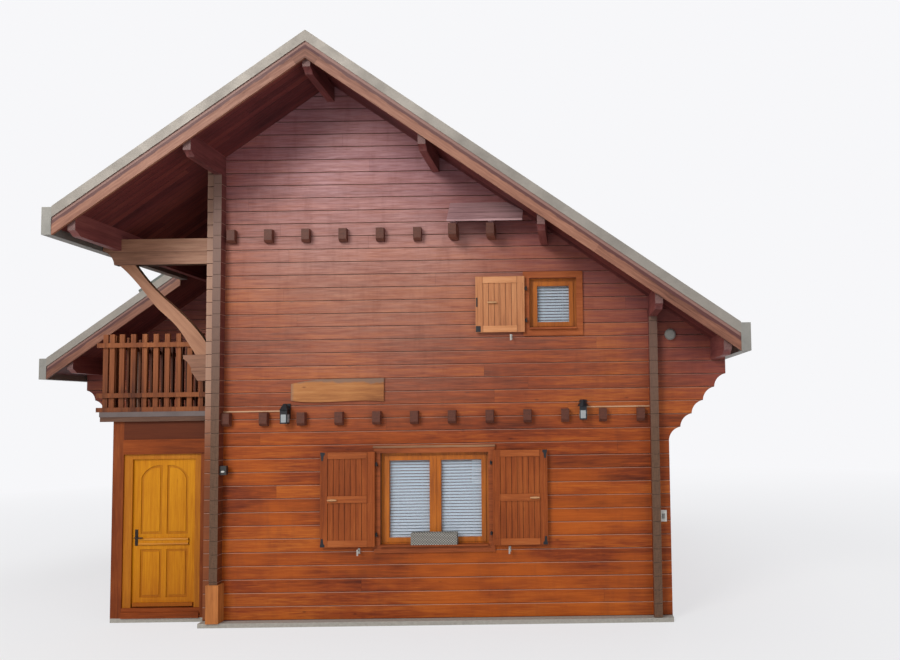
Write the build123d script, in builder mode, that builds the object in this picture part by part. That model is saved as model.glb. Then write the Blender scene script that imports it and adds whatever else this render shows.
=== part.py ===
from build123d import *
from math import cos, radians, sin, tan
import os

os.makedirs("parts", exist_ok=True)

# Alpine chalet of stacked planks, in millimetres.
# X runs to the right seen from the front gable, Y to the rear, Z up.
# The origin is at ground level, in the middle of the main block.

# Planks and corners
wall = 115
course = 185
slab_height = 60
crossing = 150
groove_depth = 9
groove_half = 7
storey_courses = 16

# Plan, between the centre lines of side walls and the outer faces of gables
main_width = 6100
main_length = 8400
wing_width = 3100
wing_setback = 3600

# Roof
roof_pitch = 35
ridge_from_left = 1550
ridge_soffit = 7641
verge_overhang = 1100
left_eave_overhang = 1710
right_eave_overhang = 1030
wing_eave_overhang = 1030
deck_thickness = 165
covering_thickness = 45
seam_spacing = 600
seam_height = 30
seam_width = 22
barge_thickness = 35
barge_drop = 104
barge_height = 205
barge_step = 10
barge_lower_board = 145
flashing_thickness = 6
flashing_height = 120
flashing_return = 130
flashing_rise = 12
gutter_width = 125
gutter_wall = 20
gutter_channel = 70
ridge_cap_width = 190
ridge_cap_thickness = 8

# Purlins
purlin_width = 100
purlin_height = 260
purlin_setback = 15
purlin_hollow_length = 110
purlin_hollow_height = 60
left_eave_purlin_out = 1480
right_eave_purlin_out = 865
wing_eave_purlin_out = 650
upper_purlin_out = 1505
lower_purlin_out = 3045

# Floors
lower_joist_course = 15
upper_joist_course = 29
joist_width = 110
joist_spacing = 527
lower_joist_first = 115
upper_joist_first = 165
joist_nose = 95
joist_long_nose = 300
joist_chamfer = 35
lower_joist_count = 12
upper_joist_count = 8
floor_boards = 40

# Left eave beam with its brace and bracket
beam_courses = 2
beam_end_inset = 15
beam_end_curve = 165
beam_lip_drop = 110
brace_top_far = 1465
brace_top_width = 231
brace_foot = 148
brace_heel = 170
brace_inset = 10
bracket_courses = 2
bracket_top_course = 20
bracket_reach = 320
bracket_step = 115
bracket_lip = 55
bracket_end_curve = 90

# Corbels of stepped planks under the right eave and the wing eave
corbel_first_course = 13
corbel_steps = 5
corbel_reach = 812
wing_corbel_reach = 790

# Entrance bay and balcony
bay_width = 1610
bay_setback = 200
bay_post_width = 155
deck_thickness_boards = 138
deck_overhang_side = 165
deck_overhang_front = 55
drip_height = 70
drip_thickness = 8
door_width = 904
door_height = 2085
door_thickness = 45
door_gap = 8
lintel_proud = 14
lintel_board = 210
sill_proud = 20
door_floor = 200
threshold_height = 60
frame_head = 60
frame_left = 110
frame_right = 75
frame_depth = 75
frame_setback = 20
frame_stop = 12
frame_front_lip = 22
door_hinge_proud = 14
door_hinge_plate = 45
door_hinge_foot = 35
door_hinge_levels = [400, 1250, 2100]
panel_depth = 12
panel_field = 9
panel_border = 34
door_stile = 115
door_muntin = 70
door_top_rail = 95
door_arch_rise = 170
door_mid_rail = 215
door_mid_rail_up = 805
door_moulding = 90
door_moulding_proud = 18
door_moulding_overlap = 20
door_bottom_rail = 130
weather_bar = 25
handle_from_edge = 60
handle_level = 1180
handle_plate = 6
handle_plate_width = 42
handle_plate_height = 230
handle_radius = 9
handle_standoff = 50
handle_length = 120
inner_door_width = 900
inner_door_height = 2100
inner_door_from_front = 1700
balcony_door_height = 2050
railing_inset = 13
rail_height = 65
rail_depth = 35
top_rail_level = 3925
low_rail_level = 3205
baluster_width = 70
baluster_depth = 32
baluster_spacing = 163
baluster_top = 4085
baluster_foot = 18
first_baluster = 269
corner_baluster_gap = 94
rail_overrun = 70

# Windows and shutters
casing_width = 90
casing_thickness = 25
sill_depth = 75
sill_thickness = 22
window_inset = 60
window_frame_depth = 70
sash_border = 108
sash_middle = 160
glass_thickness = 20
lower_window_x = -30
lower_window_bottom = 1050
lower_window_width = 1510
lower_window_height = 1290
upper_window_x = 1655
upper_window_bottom = 4050
upper_window_width = 665
upper_window_height = 730
lower_shutter_bottom = 1055
lower_shutter_height = 1310
upper_shutter_bottom = 4010
upper_shutter_height = 790
side_window_width = 1000
side_window_height = 1200
side_window_y = 300
wing_window_y = 1900
shutter_thickness = 35
shutter_hinge_offset = 25
hinge_proud = 80
hinge_beside_opening = 40
shutter_back_gap = 5
shutter_meeting_gap = 20
pin_radius = 6
eye_radius = 12
pin_sides = 12
eye_clearance = 0.5
pin_bracket_height = 14
pin_bracket_width = 20
hinge_from_end = 170
strap_height = 30
strap_thickness = 4
strap_length = 260
ledge_height = 90
ledge_thickness = 14
shutter_stile = 25
shutter_lap = 10
arm_width = 10

# Fittings
planter_length = 640
planter_height = 165
planter_depth = 112
planter_wall = 10
planter_soil = 120
planter_clearance = 3
board_left = -2040
board_bottom = 3065
board_length = 1305
board_height = 330
board_thickness = 28
canopy_clearance = 20
canopy_rise = 340
canopy_reach = 330
canopy_thickness = 25
canopy_side = 70
canopy_end = 450
canopy_strut = 60
left_lantern_x = -2100
right_lantern_x = 2060
lantern_bottom = 2770
lantern_height = 190
lantern_cap = 90
lantern_cap_taper = 31
lantern_width = 100
lantern_out = 95
lantern_arm = 25
lantern_plate = 15
conduit_over_joists = 12
conduit_size = 18
bulkhead_x = 3300
bulkhead_level = 3950
bulkhead_radius = 78
bulkhead_depth = 60
sensor_width = 95
sensor_depth = 60
sensor_height = 125
sensor_inset = 30
sensor_level = 2075
switch_from_end = 60
switch_width = 90
switch_height = 155
switch_depth = 45
switch_level = 1345
cover_thickness = 30
cover_height = 580
pipe_radius = 60
pipe_wall = 6
pipe_run = 800
pipe_y = -1480

# Levels and lines that follow from the sizes above
slope = tan(radians(roof_pitch))
lift = 1 / cos(radians(roof_pitch))
front_face = -main_length / 2
rear_face = main_length / 2
left_line = -main_width / 2
right_line = main_width / 2
wing_line = left_line - wing_width
wing_face = front_face + wing_setback
ridge_x = left_line + ridge_from_left
front_verge = front_face - verge_overhang
rear_verge = rear_face + verge_overhang
wing_verge = wing_face - verge_overhang
left_eave = left_line - left_eave_overhang
right_eave = right_line + right_eave_overhang
wing_eave = wing_line - wing_eave_overhang
wall_left_end = left_line - wall / 2 - crossing
wall_right_end = right_line + wall / 2 + crossing
wing_left_end = wing_line - wall / 2 - crossing
bay_face = front_face + bay_setback
full_height = ridge_soffit + course
bay_left_face = left_line - bay_width
room_face = left_line - wall / 2
deck_left = bay_left_face - deck_overhang_side
deck_front = bay_face - deck_overhang_front
inner_door_start = front_face + inner_door_from_front
inner_door_end = inner_door_start + inner_door_width
deck_rise = deck_thickness * lift
covering_rise = deck_rise + covering_thickness * lift


def soffit(x):
    """Height of the roof's underside above a line at x."""
    return ridge_soffit - slope * abs(x - ridge_x)


def course_top(count):
    """Height of the top of a course, counted from the slab."""
    return slab_height + count * course


lower_floor_level = course_top(lower_joist_course) + course / 2
upper_floor_level = course_top(upper_joist_course) + course / 2
deck_top = lower_floor_level + floor_boards
deck_underside = deck_top - deck_thickness_boards
first_lower_joist = left_line + lower_joist_first
first_upper_joist = left_line + upper_joist_first
lower_joists_x = [first_lower_joist + i * joist_spacing for i in range(lower_joist_count)]
upper_joists_x = [first_upper_joist + i * joist_spacing for i in range(upper_joist_count)]
wall_purlins_x = [left_line, right_line]
slope_purlins_x = [ridge_x + upper_purlin_out, ridge_x + lower_purlin_out]
left_eave_purlin_x = left_line - left_eave_purlin_out
right_eave_purlin_x = right_line + right_eave_purlin_out
wing_eave_purlin_x = wing_line - wing_eave_purlin_out


def plank_section(outer, inner, bottom, top):
    """Points of a plank wall's section, with a V groove at each joint of its outer face."""
    inward = 1 if inner > outer else -1
    points = [(inner, bottom), (inner, top), (outer, top)]
    joint = int((top - slab_height - groove_half) // course)
    while course_top(joint) > bottom + groove_half:
        level = course_top(joint)
        points.append((outer, level + groove_half))
        points.append((outer + inward * groove_depth, level))
        points.append((outer, level - groove_half))
        joint -= 1
    points.append((outer, bottom))
    return points


def prism(plane, points, length, mode=Mode.ADD):
    """Straight prism over a closed outline on a plane."""
    with BuildSketch(plane) as section:
        with BuildLine():
            Polyline(*points, close=True)
        make_face()
    extrude(section.sketch, amount=length, mode=mode)


def prism_xz(points, y_start, y_end, mode=Mode.ADD):
    """Prism along Y over an outline in X and Z."""
    prism(Plane.XZ.offset(-y_start), points, y_start - y_end, mode)


def prism_yz(points, x_start, x_end, mode=Mode.ADD):
    """Prism along X over an outline in Y and Z."""
    prism(Plane.YZ.offset(x_start), points, x_end - x_start, mode)


def wall_along_x(x_start, x_end, outer, inner, bottom, top):
    """Plank wall that runs along X."""
    prism_yz(plank_section(outer, inner, bottom, top), x_start, x_end)


def wall_along_y(y_start, y_end, outer, inner, bottom, top):
    """Plank wall that runs along Y."""
    prism_xz(plank_section(outer, inner, bottom, top), y_start, y_end)


def joint_groove(x_start, x_end, outer, inner, level):
    """Cut the V groove of one joint in a wall that runs along X."""
    inward = 1 if inner > outer else -1
    points = [
        (outer, level - groove_half),
        (outer + inward * groove_depth, level),
        (outer, level + groove_half),
    ]
    prism_yz(points, x_start, x_end, Mode.SUBTRACT)


def block(x_range, y_range, z_range, mode=Mode.ADD):
    """Rectangular block between two corners."""
    sizes = [abs(high - low) for low, high in (x_range, y_range, z_range)]
    middles = [(low + high) / 2 for low, high in (x_range, y_range, z_range)]
    with Locations(tuple(middles)):
        Box(*sizes, mode=mode)


def crossing_notches(x, y, odd, top_course):
    """Cut every second course out of a wall where another wall passes through it."""
    levels = [n for n in range(1, top_course + 1) if n % 2 == odd]
    with Locations(*[(x, y, course_top(n) - course / 2) for n in levels]):
        Box(wall, wall, course, mode=Mode.SUBTRACT)


def purlin_points(x):
    """Section of a purlin whose top follows the roof."""
    edges = [x - purlin_width / 2, x + purlin_width / 2]
    bottom = min(soffit(edges[0]), soffit(edges[1])) + slope * purlin_width / 2 - purlin_height
    points = [(edges[0], bottom), (edges[0], soffit(edges[0]))]
    if edges[0] < ridge_x < edges[1]:
        points.append((ridge_x, ridge_soffit))
    points += [(edges[1], soffit(edges[1])), (edges[1], bottom)]
    return points


def purlin_bottom(x):
    """Level of a purlin's underside."""
    return purlin_points(x)[0][1]


def purlin_run(x, y_start, y_end, mode=Mode.ADD):
    """Purlin along Y, or the room that it takes in a wall."""
    prism_xz(purlin_points(x), y_start, y_end, mode)


def purlin_hollow(x, end, inward):
    """Carve a hollow curve under one end of a purlin."""
    bottom = purlin_bottom(x)
    tip = (end, bottom + purlin_hollow_height)
    root = (end + inward * purlin_hollow_length, bottom)
    middle = (end + 0.4 * inward * purlin_hollow_length, bottom + 0.75 * purlin_hollow_height)
    with BuildSketch(Plane.YZ.offset(x - purlin_width)) as section:
        with BuildLine():
            Polyline(root, (end, bottom), tip)
            ThreePointArc(tip, middle, root)
        make_face()
    extrude(section.sketch, amount=2 * purlin_width, mode=Mode.SUBTRACT)


def joist_room(joists_x, level, y_start, y_end):
    """Cut the seats of a row of joists out of a gable."""
    with Locations(*[(x, (y_start + y_end) / 2, level - course / 2) for x in joists_x]):
        Box(joist_width, y_end - y_start, course, mode=Mode.SUBTRACT)


def upright(x, y, z_range, radius, mode=Mode.ADD):
    """Small upright round bar, or the bore for one, with flats all round."""
    with BuildSketch(Plane.XY.offset(z_range[0])) as section:
        with Locations((x, y)):
            RegularPolygon(radius, pin_sides, major_radius=mode == Mode.ADD)
    extrude(section.sketch, amount=z_range[1] - z_range[0], mode=mode)


def stepped_corbel(x_start, reach, side, outer, inner):
    """Plank ends that step out to carry an eave, each with a hollow curve."""
    step = reach / corbel_steps
    x_end = x_start + side * reach
    top = soffit(x_end)
    with BuildSketch(Plane.XZ.offset(-outer)) as section:
        with BuildLine():
            for i in range(corbel_steps):
                low = (x_start + side * step * i, course_top(corbel_first_course + i))
                high = (x_start + side * step * (i + 1), course_top(corbel_first_course + i + 1))
                hollow = (low[0] + side * 0.32 * step, low[1] + 0.68 * course)
                ThreePointArc(low, hollow, high)
            Polyline(
                (x_end, course_top(corbel_first_course + corbel_steps)),
                (x_end, top),
                (x_start, soffit(x_start)),
                (x_start, course_top(corbel_first_course)),
            )
        make_face()
    extrude(section.sketch, amount=outer - inner)
    grooves = plank_section(outer, inner, slab_height, full_height)
    prism_yz(grooves, min(x_start, x_end), max(x_start, x_end), Mode.INTERSECT)


def slab_on(plane, u_range, v_range, w_range, mode=Mode.ADD):
    """Block between two corners given along a wall, up it and out from it."""
    with BuildSketch(plane.offset(w_range[0])) as section:
        with Locations(((u_range[0] + u_range[1]) / 2, (v_range[0] + v_range[1]) / 2)):
            Rectangle(u_range[1] - u_range[0], v_range[1] - v_range[0])
    extrude(section.sketch, amount=w_range[1] - w_range[0], mode=mode)


def export(piece, name):
    """Label a finished piece and write its file."""
    piece.part.label = name
    export_step(piece.part, f"parts/{name}.step")


def gable_points(x_start, x_end):
    """Outline of a gable under the roof between two plumb ends."""
    points = [(x_start, slab_height), (x_start, soffit(x_start))]
    if x_start < ridge_x < x_end:
        points.append((ridge_x, ridge_soffit))
    points += [(x_end, soffit(x_end)), (x_end, slab_height)]
    return points


def roof_band(x_start, x_end, low, high):
    """Outline of a layer that follows the roof, between two heights over the soffit."""
    stations = [x_start]
    if x_start < ridge_x < x_end:
        stations.append(ridge_x)
    stations.append(x_end)
    upper = [(x, soffit(x) + high) for x in stations]
    lower = [(x, soffit(x) + low) for x in reversed(stations)]
    return upper + lower


def facing(x, y, z, along, outward):
    """Plane on a wall face: u along the wall, v up, w outwards."""
    return Plane(origin=(x, y, z), x_dir=along, z_dir=outward)


# Courses in each wall, with the last one cut level under the purlin that lies on it
main_courses = int((purlin_bottom(left_line) - slab_height) // course) + 1
right_courses = int((purlin_bottom(right_line) - slab_height) // course) + 1
wing_courses = int((purlin_bottom(wing_line) - slab_height) // course) + 1
left_wall_top = purlin_bottom(left_line)
right_wall_top = purlin_bottom(right_line)
wing_wall_top = purlin_bottom(wing_line)

# Windows: face plane with its origin at the middle of the sill line, width, height, panes
front_lower = facing(lower_window_x, front_face, lower_window_bottom, (1, 0, 0), (0, -1, 0))
front_upper = facing(upper_window_x, front_face, upper_window_bottom, (1, 0, 0), (0, -1, 0))
rear_lower = facing(-lower_window_x, rear_face, lower_window_bottom, (-1, 0, 0), (0, 1, 0))
rear_upper = facing(upper_window_x, rear_face, upper_window_bottom, (-1, 0, 0), (0, 1, 0))
right_side = facing(right_line + wall / 2, side_window_y, lower_window_bottom, (0, 1, 0), (1, 0, 0))
wing_side = facing(wing_line - wall / 2, wing_window_y, lower_window_bottom, (0, -1, 0), (-1, 0, 0))
windows = [
    (front_lower, lower_window_width, lower_window_height, 2),
    (front_upper, upper_window_width, upper_window_height, 1),
    (rear_lower, lower_window_width, lower_window_height, 2),
    (rear_upper, upper_window_width, upper_window_height, 1),
    (right_side, side_window_width, side_window_height, 2),
    (wing_side, side_window_width, side_window_height, 2),
]


def window_hole(plane, width, height):
    """Opening of a window, right through its wall."""
    slab_on(plane, (-width / 2, width / 2), (0, height), (-2 * wall, wall), Mode.SUBTRACT)


def pane_ranges(width, height, panes):
    """Where each pane's glass shows, along the window and up it."""
    inner = width - 2 * sash_border - (panes - 1) * sash_middle
    pane = inner / panes
    starts = [-width / 2 + sash_border + i * (pane + sash_middle) for i in range(panes)]
    return [((start, start + pane), (sash_border, height - sash_border)) for start in starts]


# Ground slab, with the raised floors inside the walls
with BuildPart() as foundation_slab:
    slab_front = front_face - crossing
    slab_rear = rear_face + crossing
    room_front = front_face + wall
    room_rear = rear_face - wall
    block((wall_left_end, wall_right_end), (slab_front, slab_rear), (0, slab_height))
    block((wing_left_end, wall_left_end), (wing_face - crossing, slab_rear), (0, slab_height))
    block((bay_left_face, wall_left_end), (bay_face, wing_face), (0, slab_height))
    block(
        (left_line + wall / 2, right_line - wall / 2),
        (room_front, room_rear),
        (slab_height, door_floor),
    )
    block(
        (wing_line + wall / 2, left_line + wall / 2),
        (wing_face + wall, room_rear),
        (slab_height, door_floor),
    )
    block(
        (bay_left_face + wall, room_face),
        (bay_face + wall, wing_face),
        (slab_height, door_floor),
    )
export(foundation_slab, "foundation_slab")

# Front wall up to the joint over the lower joists, and the gable that stands on it
storey_joint = course_top(storey_courses)
with BuildPart() as front_wall:
    wall_along_x(
        wall_left_end, wall_right_end, front_face, front_face + wall, slab_height, storey_joint
    )
    crossing_notches(left_line, front_face + wall / 2, 1, storey_courses)
    crossing_notches(right_line, front_face + wall / 2, 1, storey_courses)
    window_hole(front_lower, lower_window_width, lower_window_height)
    joist_room(lower_joists_x, lower_floor_level, front_face - wall, front_face + 2 * wall)
    joint_groove(wall_left_end, wall_right_end, front_face, front_face + wall, storey_joint)
export(front_wall, "front_wall")

with BuildPart() as front_gable:
    wall_along_x(
        wall_left_end, wall_right_end, front_face, front_face + wall, storey_joint, full_height
    )
    outline = gable_points(wall_left_end, wall_right_end)
    prism_xz(outline, front_face - wall, front_face + 2 * wall, Mode.INTERSECT)
    crossing_notches(left_line, front_face + wall / 2, 1, main_courses)
    crossing_notches(right_line, front_face + wall / 2, 1, right_courses)
    window_hole(front_upper, upper_window_width, upper_window_height)
    joist_room(upper_joists_x, upper_floor_level, front_face - wall, front_face + 2 * wall)
    joint_groove(wall_left_end, wall_right_end, front_face, front_face + wall, storey_joint)
    for purlin_x in [ridge_x, *wall_purlins_x, *slope_purlins_x]:
        purlin_run(purlin_x, front_face - wall, front_face + 2 * wall, Mode.SUBTRACT)
export(front_gable, "front_gable")

# Rear wall and gable, across the main block and the wing
with BuildPart() as rear_wall:
    wall_along_x(wing_left_end, wall_right_end, rear_face, rear_face - wall, slab_height, storey_joint)
    crossing_notches(wing_line, rear_face - wall / 2, 1, storey_courses)
    crossing_notches(right_line, rear_face - wall / 2, 1, storey_courses)
    window_hole(rear_lower, lower_window_width, lower_window_height)
    joist_room(lower_joists_x, lower_floor_level, rear_face - 2 * wall, rear_face + wall)
    joint_groove(wing_left_end, wall_right_end, rear_face, rear_face - wall, storey_joint)
export(rear_wall, "rear_wall")

with BuildPart() as rear_gable:
    wall_along_x(wing_left_end, wall_right_end, rear_face, rear_face - wall, storey_joint, full_height)
    outline = gable_points(wing_left_end, wall_right_end)
    prism_xz(outline, rear_face - 2 * wall, rear_face + wall, Mode.INTERSECT)
    crossing_notches(wing_line, rear_face - wall / 2, 1, wing_courses)
    crossing_notches(right_line, rear_face - wall / 2, 1, right_courses)
    window_hole(rear_upper, upper_window_width, upper_window_height)
    joist_room(upper_joists_x, upper_floor_level, rear_face - 2 * wall, rear_face + wall)
    joint_groove(wing_left_end, wall_right_end, rear_face, rear_face - wall, storey_joint)
    for purlin_x in [ridge_x, *wall_purlins_x, *slope_purlins_x, left_eave_purlin_x, wing_line]:
        purlin_run(purlin_x, rear_face - 2 * wall, rear_face + wall, Mode.SUBTRACT)
export(rear_gable, "rear_gable")

# Wall between the main room and the entrance bay, split at its two doorways
with BuildPart() as left_wall_front:
    wall_along_y(
        front_face - crossing, inner_door_start, room_face, room_face + wall, slab_height, left_wall_top
    )
    crossing_notches(left_line, front_face + wall / 2, 0, main_courses)
export(left_wall_front, "left_wall_front")

with BuildPart() as left_wall_rear:
    wall_along_y(
        inner_door_end,
        wing_face + wall,
        room_face,
        room_face + wall,
        slab_height,
        left_wall_top,
    )
    crossing_notches(left_line, wing_face + wall / 2, 0, main_courses)
export(left_wall_rear, "left_wall_rear")

with BuildPart() as left_wall_over:
    inner_door_top = door_floor + inner_door_height
    balcony_door_top = deck_top + balcony_door_height
    wall_along_y(
        inner_door_start, inner_door_end, room_face, room_face + wall, inner_door_top, deck_top
    )
    wall_along_y(
        inner_door_start, inner_door_end, room_face, room_face + wall, balcony_door_top, left_wall_top
    )
export(left_wall_over, "left_wall_over")

# Right wall
with BuildPart() as right_wall:
    wall_along_y(
        front_face - crossing,
        rear_face + crossing,
        right_line + wall / 2,
        right_line - wall / 2,
        slab_height,
        right_wall_top,
    )
    crossing_notches(right_line, front_face + wall / 2, 0, right_courses)
    crossing_notches(right_line, rear_face - wall / 2, 0, right_courses)
    window_hole(right_side, side_window_width, side_window_height)
export(right_wall, "right_wall")

# Wing walls
with BuildPart() as wing_front_wall:
    inner_end = room_face + wall
    wall_along_x(wing_left_end, inner_end, wing_face, wing_face + wall, slab_height, full_height)
    outline = gable_points(wing_left_end, inner_end)
    prism_xz(outline, wing_face - wall, wing_face + 2 * wall, Mode.INTERSECT)
    crossing_notches(wing_line, wing_face + wall / 2, 1, wing_courses)
    crossing_notches(left_line, wing_face + wall / 2, 1, main_courses)
    for purlin_x in [left_line, left_eave_purlin_x, wing_line]:
        purlin_run(purlin_x, wing_face - wall, wing_face + 2 * wall, Mode.SUBTRACT)
export(wing_front_wall, "wing_front_wall")

with BuildPart() as wing_left_wall:
    wall_along_y(
        wing_face - crossing,
        rear_face + crossing,
        wing_line - wall / 2,
        wing_line + wall / 2,
        slab_height,
        wing_wall_top,
    )
    crossing_notches(wing_line, wing_face + wall / 2, 0, wing_courses)
    crossing_notches(wing_line, rear_face - wall / 2, 0, wing_courses)
    window_hole(wing_side, side_window_width, side_window_height)
export(wing_left_wall, "wing_left_wall")

# Stepped plank ends under the right eave and the wing eave, at the front and the rear
with BuildPart() as corbel_right_front:
    stepped_corbel(wall_right_end, corbel_reach, 1, front_face, front_face + wall)
    purlin_run(right_eave_purlin_x, front_face - wall, front_face + 2 * wall, Mode.SUBTRACT)
with BuildPart() as corbel_right_rear:
    stepped_corbel(wall_right_end, corbel_reach, 1, rear_face, rear_face - wall)
    purlin_run(right_eave_purlin_x, rear_face - 2 * wall, rear_face + wall, Mode.SUBTRACT)
with BuildPart() as corbel_wing_front:
    stepped_corbel(wing_left_end, wing_corbel_reach, -1, wing_face, wing_face + wall)
    purlin_run(wing_eave_purlin_x, wing_face - wall, wing_face + 2 * wall, Mode.SUBTRACT)
with BuildPart() as corbel_wing_rear:
    stepped_corbel(wing_left_end, wing_corbel_reach, -1, rear_face, rear_face - wall)
    purlin_run(wing_eave_purlin_x, rear_face - 2 * wall, rear_face + wall, Mode.SUBTRACT)
with BuildPart() as eave_corbels:
    add(corbel_right_front.part)
    add(corbel_right_rear.part)
    add(corbel_wing_front.part)
    add(corbel_wing_rear.part)
export(eave_corbels, "eave_corbels")

# Joists through both gables, their noses chamfered outside
def joist(x, level, nose):
    """One joist along Y, standing out past the gables by its noses."""
    block(
        (x - joist_width / 2, x + joist_width / 2),
        (front_face - nose, rear_face + joist_nose),
        (level - course, level),
    )


with BuildPart() as floor_joists:
    for joist_x in lower_joists_x:
        joist(joist_x, lower_floor_level, joist_nose)
    for joist_x in upper_joists_x[:-2]:
        joist(joist_x, upper_floor_level, joist_nose)
    for joist_x in upper_joists_x[-2:]:
        joist(joist_x, upper_floor_level, joist_long_nose)
    nose_edges = floor_joists.edges().filter_by(Axis.X).filter_by(
        lambda edge: not front_face < edge.center().Y < rear_face
        and min(abs(edge.center().Z - lower_floor_level), abs(edge.center().Z - upper_floor_level)) > 1
    )
    chamfer(nose_edges, length=joist_chamfer)
export(floor_joists, "floor_joists")

# Floors of the upper storey and the attic
attic_end = ridge_x + (ridge_soffit - upper_floor_level - floor_boards) / slope
with BuildPart() as upper_floors:
    block(
        (left_line + wall / 2, right_line - wall / 2),
        (front_face + wall, rear_face - wall),
        (lower_floor_level, deck_top),
    )
    block(
        (wing_line + wall / 2, left_line + wall / 2),
        (wing_face + wall, rear_face - wall),
        (lower_floor_level, deck_top),
    )
    block(
        (left_line + wall / 2, attic_end),
        (front_face + wall, rear_face - wall),
        (upper_floor_level, upper_floor_level + floor_boards),
    )
export(upper_floors, "upper_floors")

# Purlins along the roof, from verge to verge
with BuildPart() as purlins:
    purlin_front = front_verge + barge_thickness + purlin_setback
    purlin_rear = rear_verge - barge_thickness - purlin_setback
    wing_purlin_front = wing_verge + barge_thickness + purlin_setback
    main_purlins_x = [
        left_eave_purlin_x,
        ridge_x,
        *wall_purlins_x,
        *slope_purlins_x,
        right_eave_purlin_x,
    ]
    purlin_fronts = [(x, purlin_front) for x in main_purlins_x]
    purlin_fronts += [(x, wing_purlin_front) for x in (wing_line, wing_eave_purlin_x)]
    for purlin_x, front in purlin_fronts:
        purlin_run(purlin_x, front, purlin_rear)
        purlin_hollow(purlin_x, front, 1)
        purlin_hollow(purlin_x, purlin_rear, -1)
export(purlins, "purlins")

# Roof decks, from the soffit boards to the underside of the covering
with BuildPart() as roof_deck_right:
    prism_xz(
        roof_band(ridge_x, right_eave, 0, deck_rise),
        front_verge + barge_thickness,
        rear_verge - barge_thickness,
    )
export(roof_deck_right, "roof_deck_right")

with BuildPart() as roof_deck_left:
    prism_xz(
        roof_band(left_eave, ridge_x, 0, deck_rise),
        front_verge + barge_thickness,
        rear_verge - barge_thickness,
    )
export(roof_deck_left, "roof_deck_left")

with BuildPart() as roof_deck_wing:
    prism_xz(
        roof_band(wing_eave, left_eave, 0, deck_rise),
        wing_verge + barge_thickness,
        rear_verge - barge_thickness,
    )
export(roof_deck_wing, "roof_deck_wing")


# Sheet metal covering with standing seams down both slopes
def seam_rows(y_start, y_end):
    """Places of the standing seams between two verges."""
    count = int((y_end - y_start - 2 * flashing_return) // seam_spacing)
    first = (y_start + y_end - count * seam_spacing) / 2
    return [first + i * seam_spacing for i in range(count + 1)]


with BuildPart() as roof_covering:
    prism_xz(roof_band(left_eave, right_eave, deck_rise, covering_rise), front_verge, rear_verge)
    prism_xz(roof_band(wing_eave, left_eave, deck_rise, covering_rise), wing_verge, rear_verge)
    seam_top = covering_rise + seam_height * lift
    for seam_y in seam_rows(front_verge, rear_verge):
        left_end = wing_eave if seam_y > wing_verge + flashing_return else left_eave
        slopes = (
            (left_end, ridge_x - ridge_cap_width),
            (ridge_x + ridge_cap_width, right_eave),
        )
        for start, end in slopes:
            band = roof_band(start, end, deck_rise, seam_top)
            prism_xz(band, seam_y - seam_width / 2, seam_y + seam_width / 2)
export(roof_covering, "roof_covering")

# Barge boards along the verges, each a lower board with a slimmer one set back above it
def barge_run(x_start, x_end, verge_y, inward):
    """Both boards of one verge."""
    barge_top = barge_height * lift - barge_drop
    joint = barge_lower_board * lift - barge_drop
    back = verge_y + inward * barge_thickness
    lower = roof_band(x_start, x_end, -barge_drop, joint)
    upper = roof_band(x_start, x_end, joint, barge_top)
    prism_xz(lower, *sorted((verge_y, back)))
    prism_xz(upper, *sorted((verge_y + inward * barge_step, back)))


with BuildPart() as barge_boards:
    barge_run(left_eave, right_eave, front_verge, 1)
    barge_run(wing_eave, right_eave, rear_verge, -1)
    barge_run(wing_eave, left_eave - gutter_width, wing_verge, 1)
export(barge_boards, "barge_boards")


# Sheet metal over the verges and the ridge
def verge_flashing(x_start, x_end, verge_y, inward):
    """Face plate over the barge board, with a return on the roof."""
    plate_top = covering_rise + flashing_rise
    plate_bottom = plate_top - flashing_height * lift
    plate = roof_band(x_start, x_end, plate_bottom, plate_top)
    prism_xz(plate, *sorted((verge_y - inward * flashing_thickness, verge_y)))
    top = roof_band(x_start, x_end, covering_rise, plate_top)
    prism_xz(top, *sorted((verge_y, verge_y + inward * flashing_return)))


with BuildPart() as roof_flashings:
    verge_flashing(left_eave, right_eave, front_verge, 1)
    verge_flashing(wing_eave, right_eave, rear_verge, -1)
    verge_flashing(wing_eave, left_eave - gutter_width, wing_verge, 1)
    cap = roof_band(
        ridge_x - ridge_cap_width,
        ridge_x + ridge_cap_width,
        covering_rise,
        covering_rise + ridge_cap_thickness * lift,
    )
    prism_xz(cap, front_verge + flashing_return, rear_verge - flashing_return)
export(roof_flashings, "roof_flashings")


# Box gutters along the eaves, closed at their ends
def eave_gutter(eave, side, y_start, y_end):
    """Gutter against the end of the roof deck."""
    outer = eave + side * gutter_width
    bottom = soffit(eave) - barge_drop
    top = soffit(eave) + covering_rise
    block((eave, outer), (y_start, y_end), (bottom, top))
    block(
        (eave + side * gutter_wall, outer - side * gutter_wall),
        (y_start + gutter_wall, y_end - gutter_wall),
        (top - gutter_channel, top),
        Mode.SUBTRACT,
    )


with BuildPart() as eave_gutters:
    eave_gutter(
        left_eave, -1, front_verge - flashing_thickness, wing_verge - flashing_thickness
    )
    eave_gutter(right_eave, 1, front_verge - flashing_thickness, rear_verge + flashing_thickness)
    eave_gutter(wing_eave, -1, wing_verge - flashing_thickness, rear_verge + flashing_thickness)
export(eave_gutters, "eave_gutters")

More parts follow.
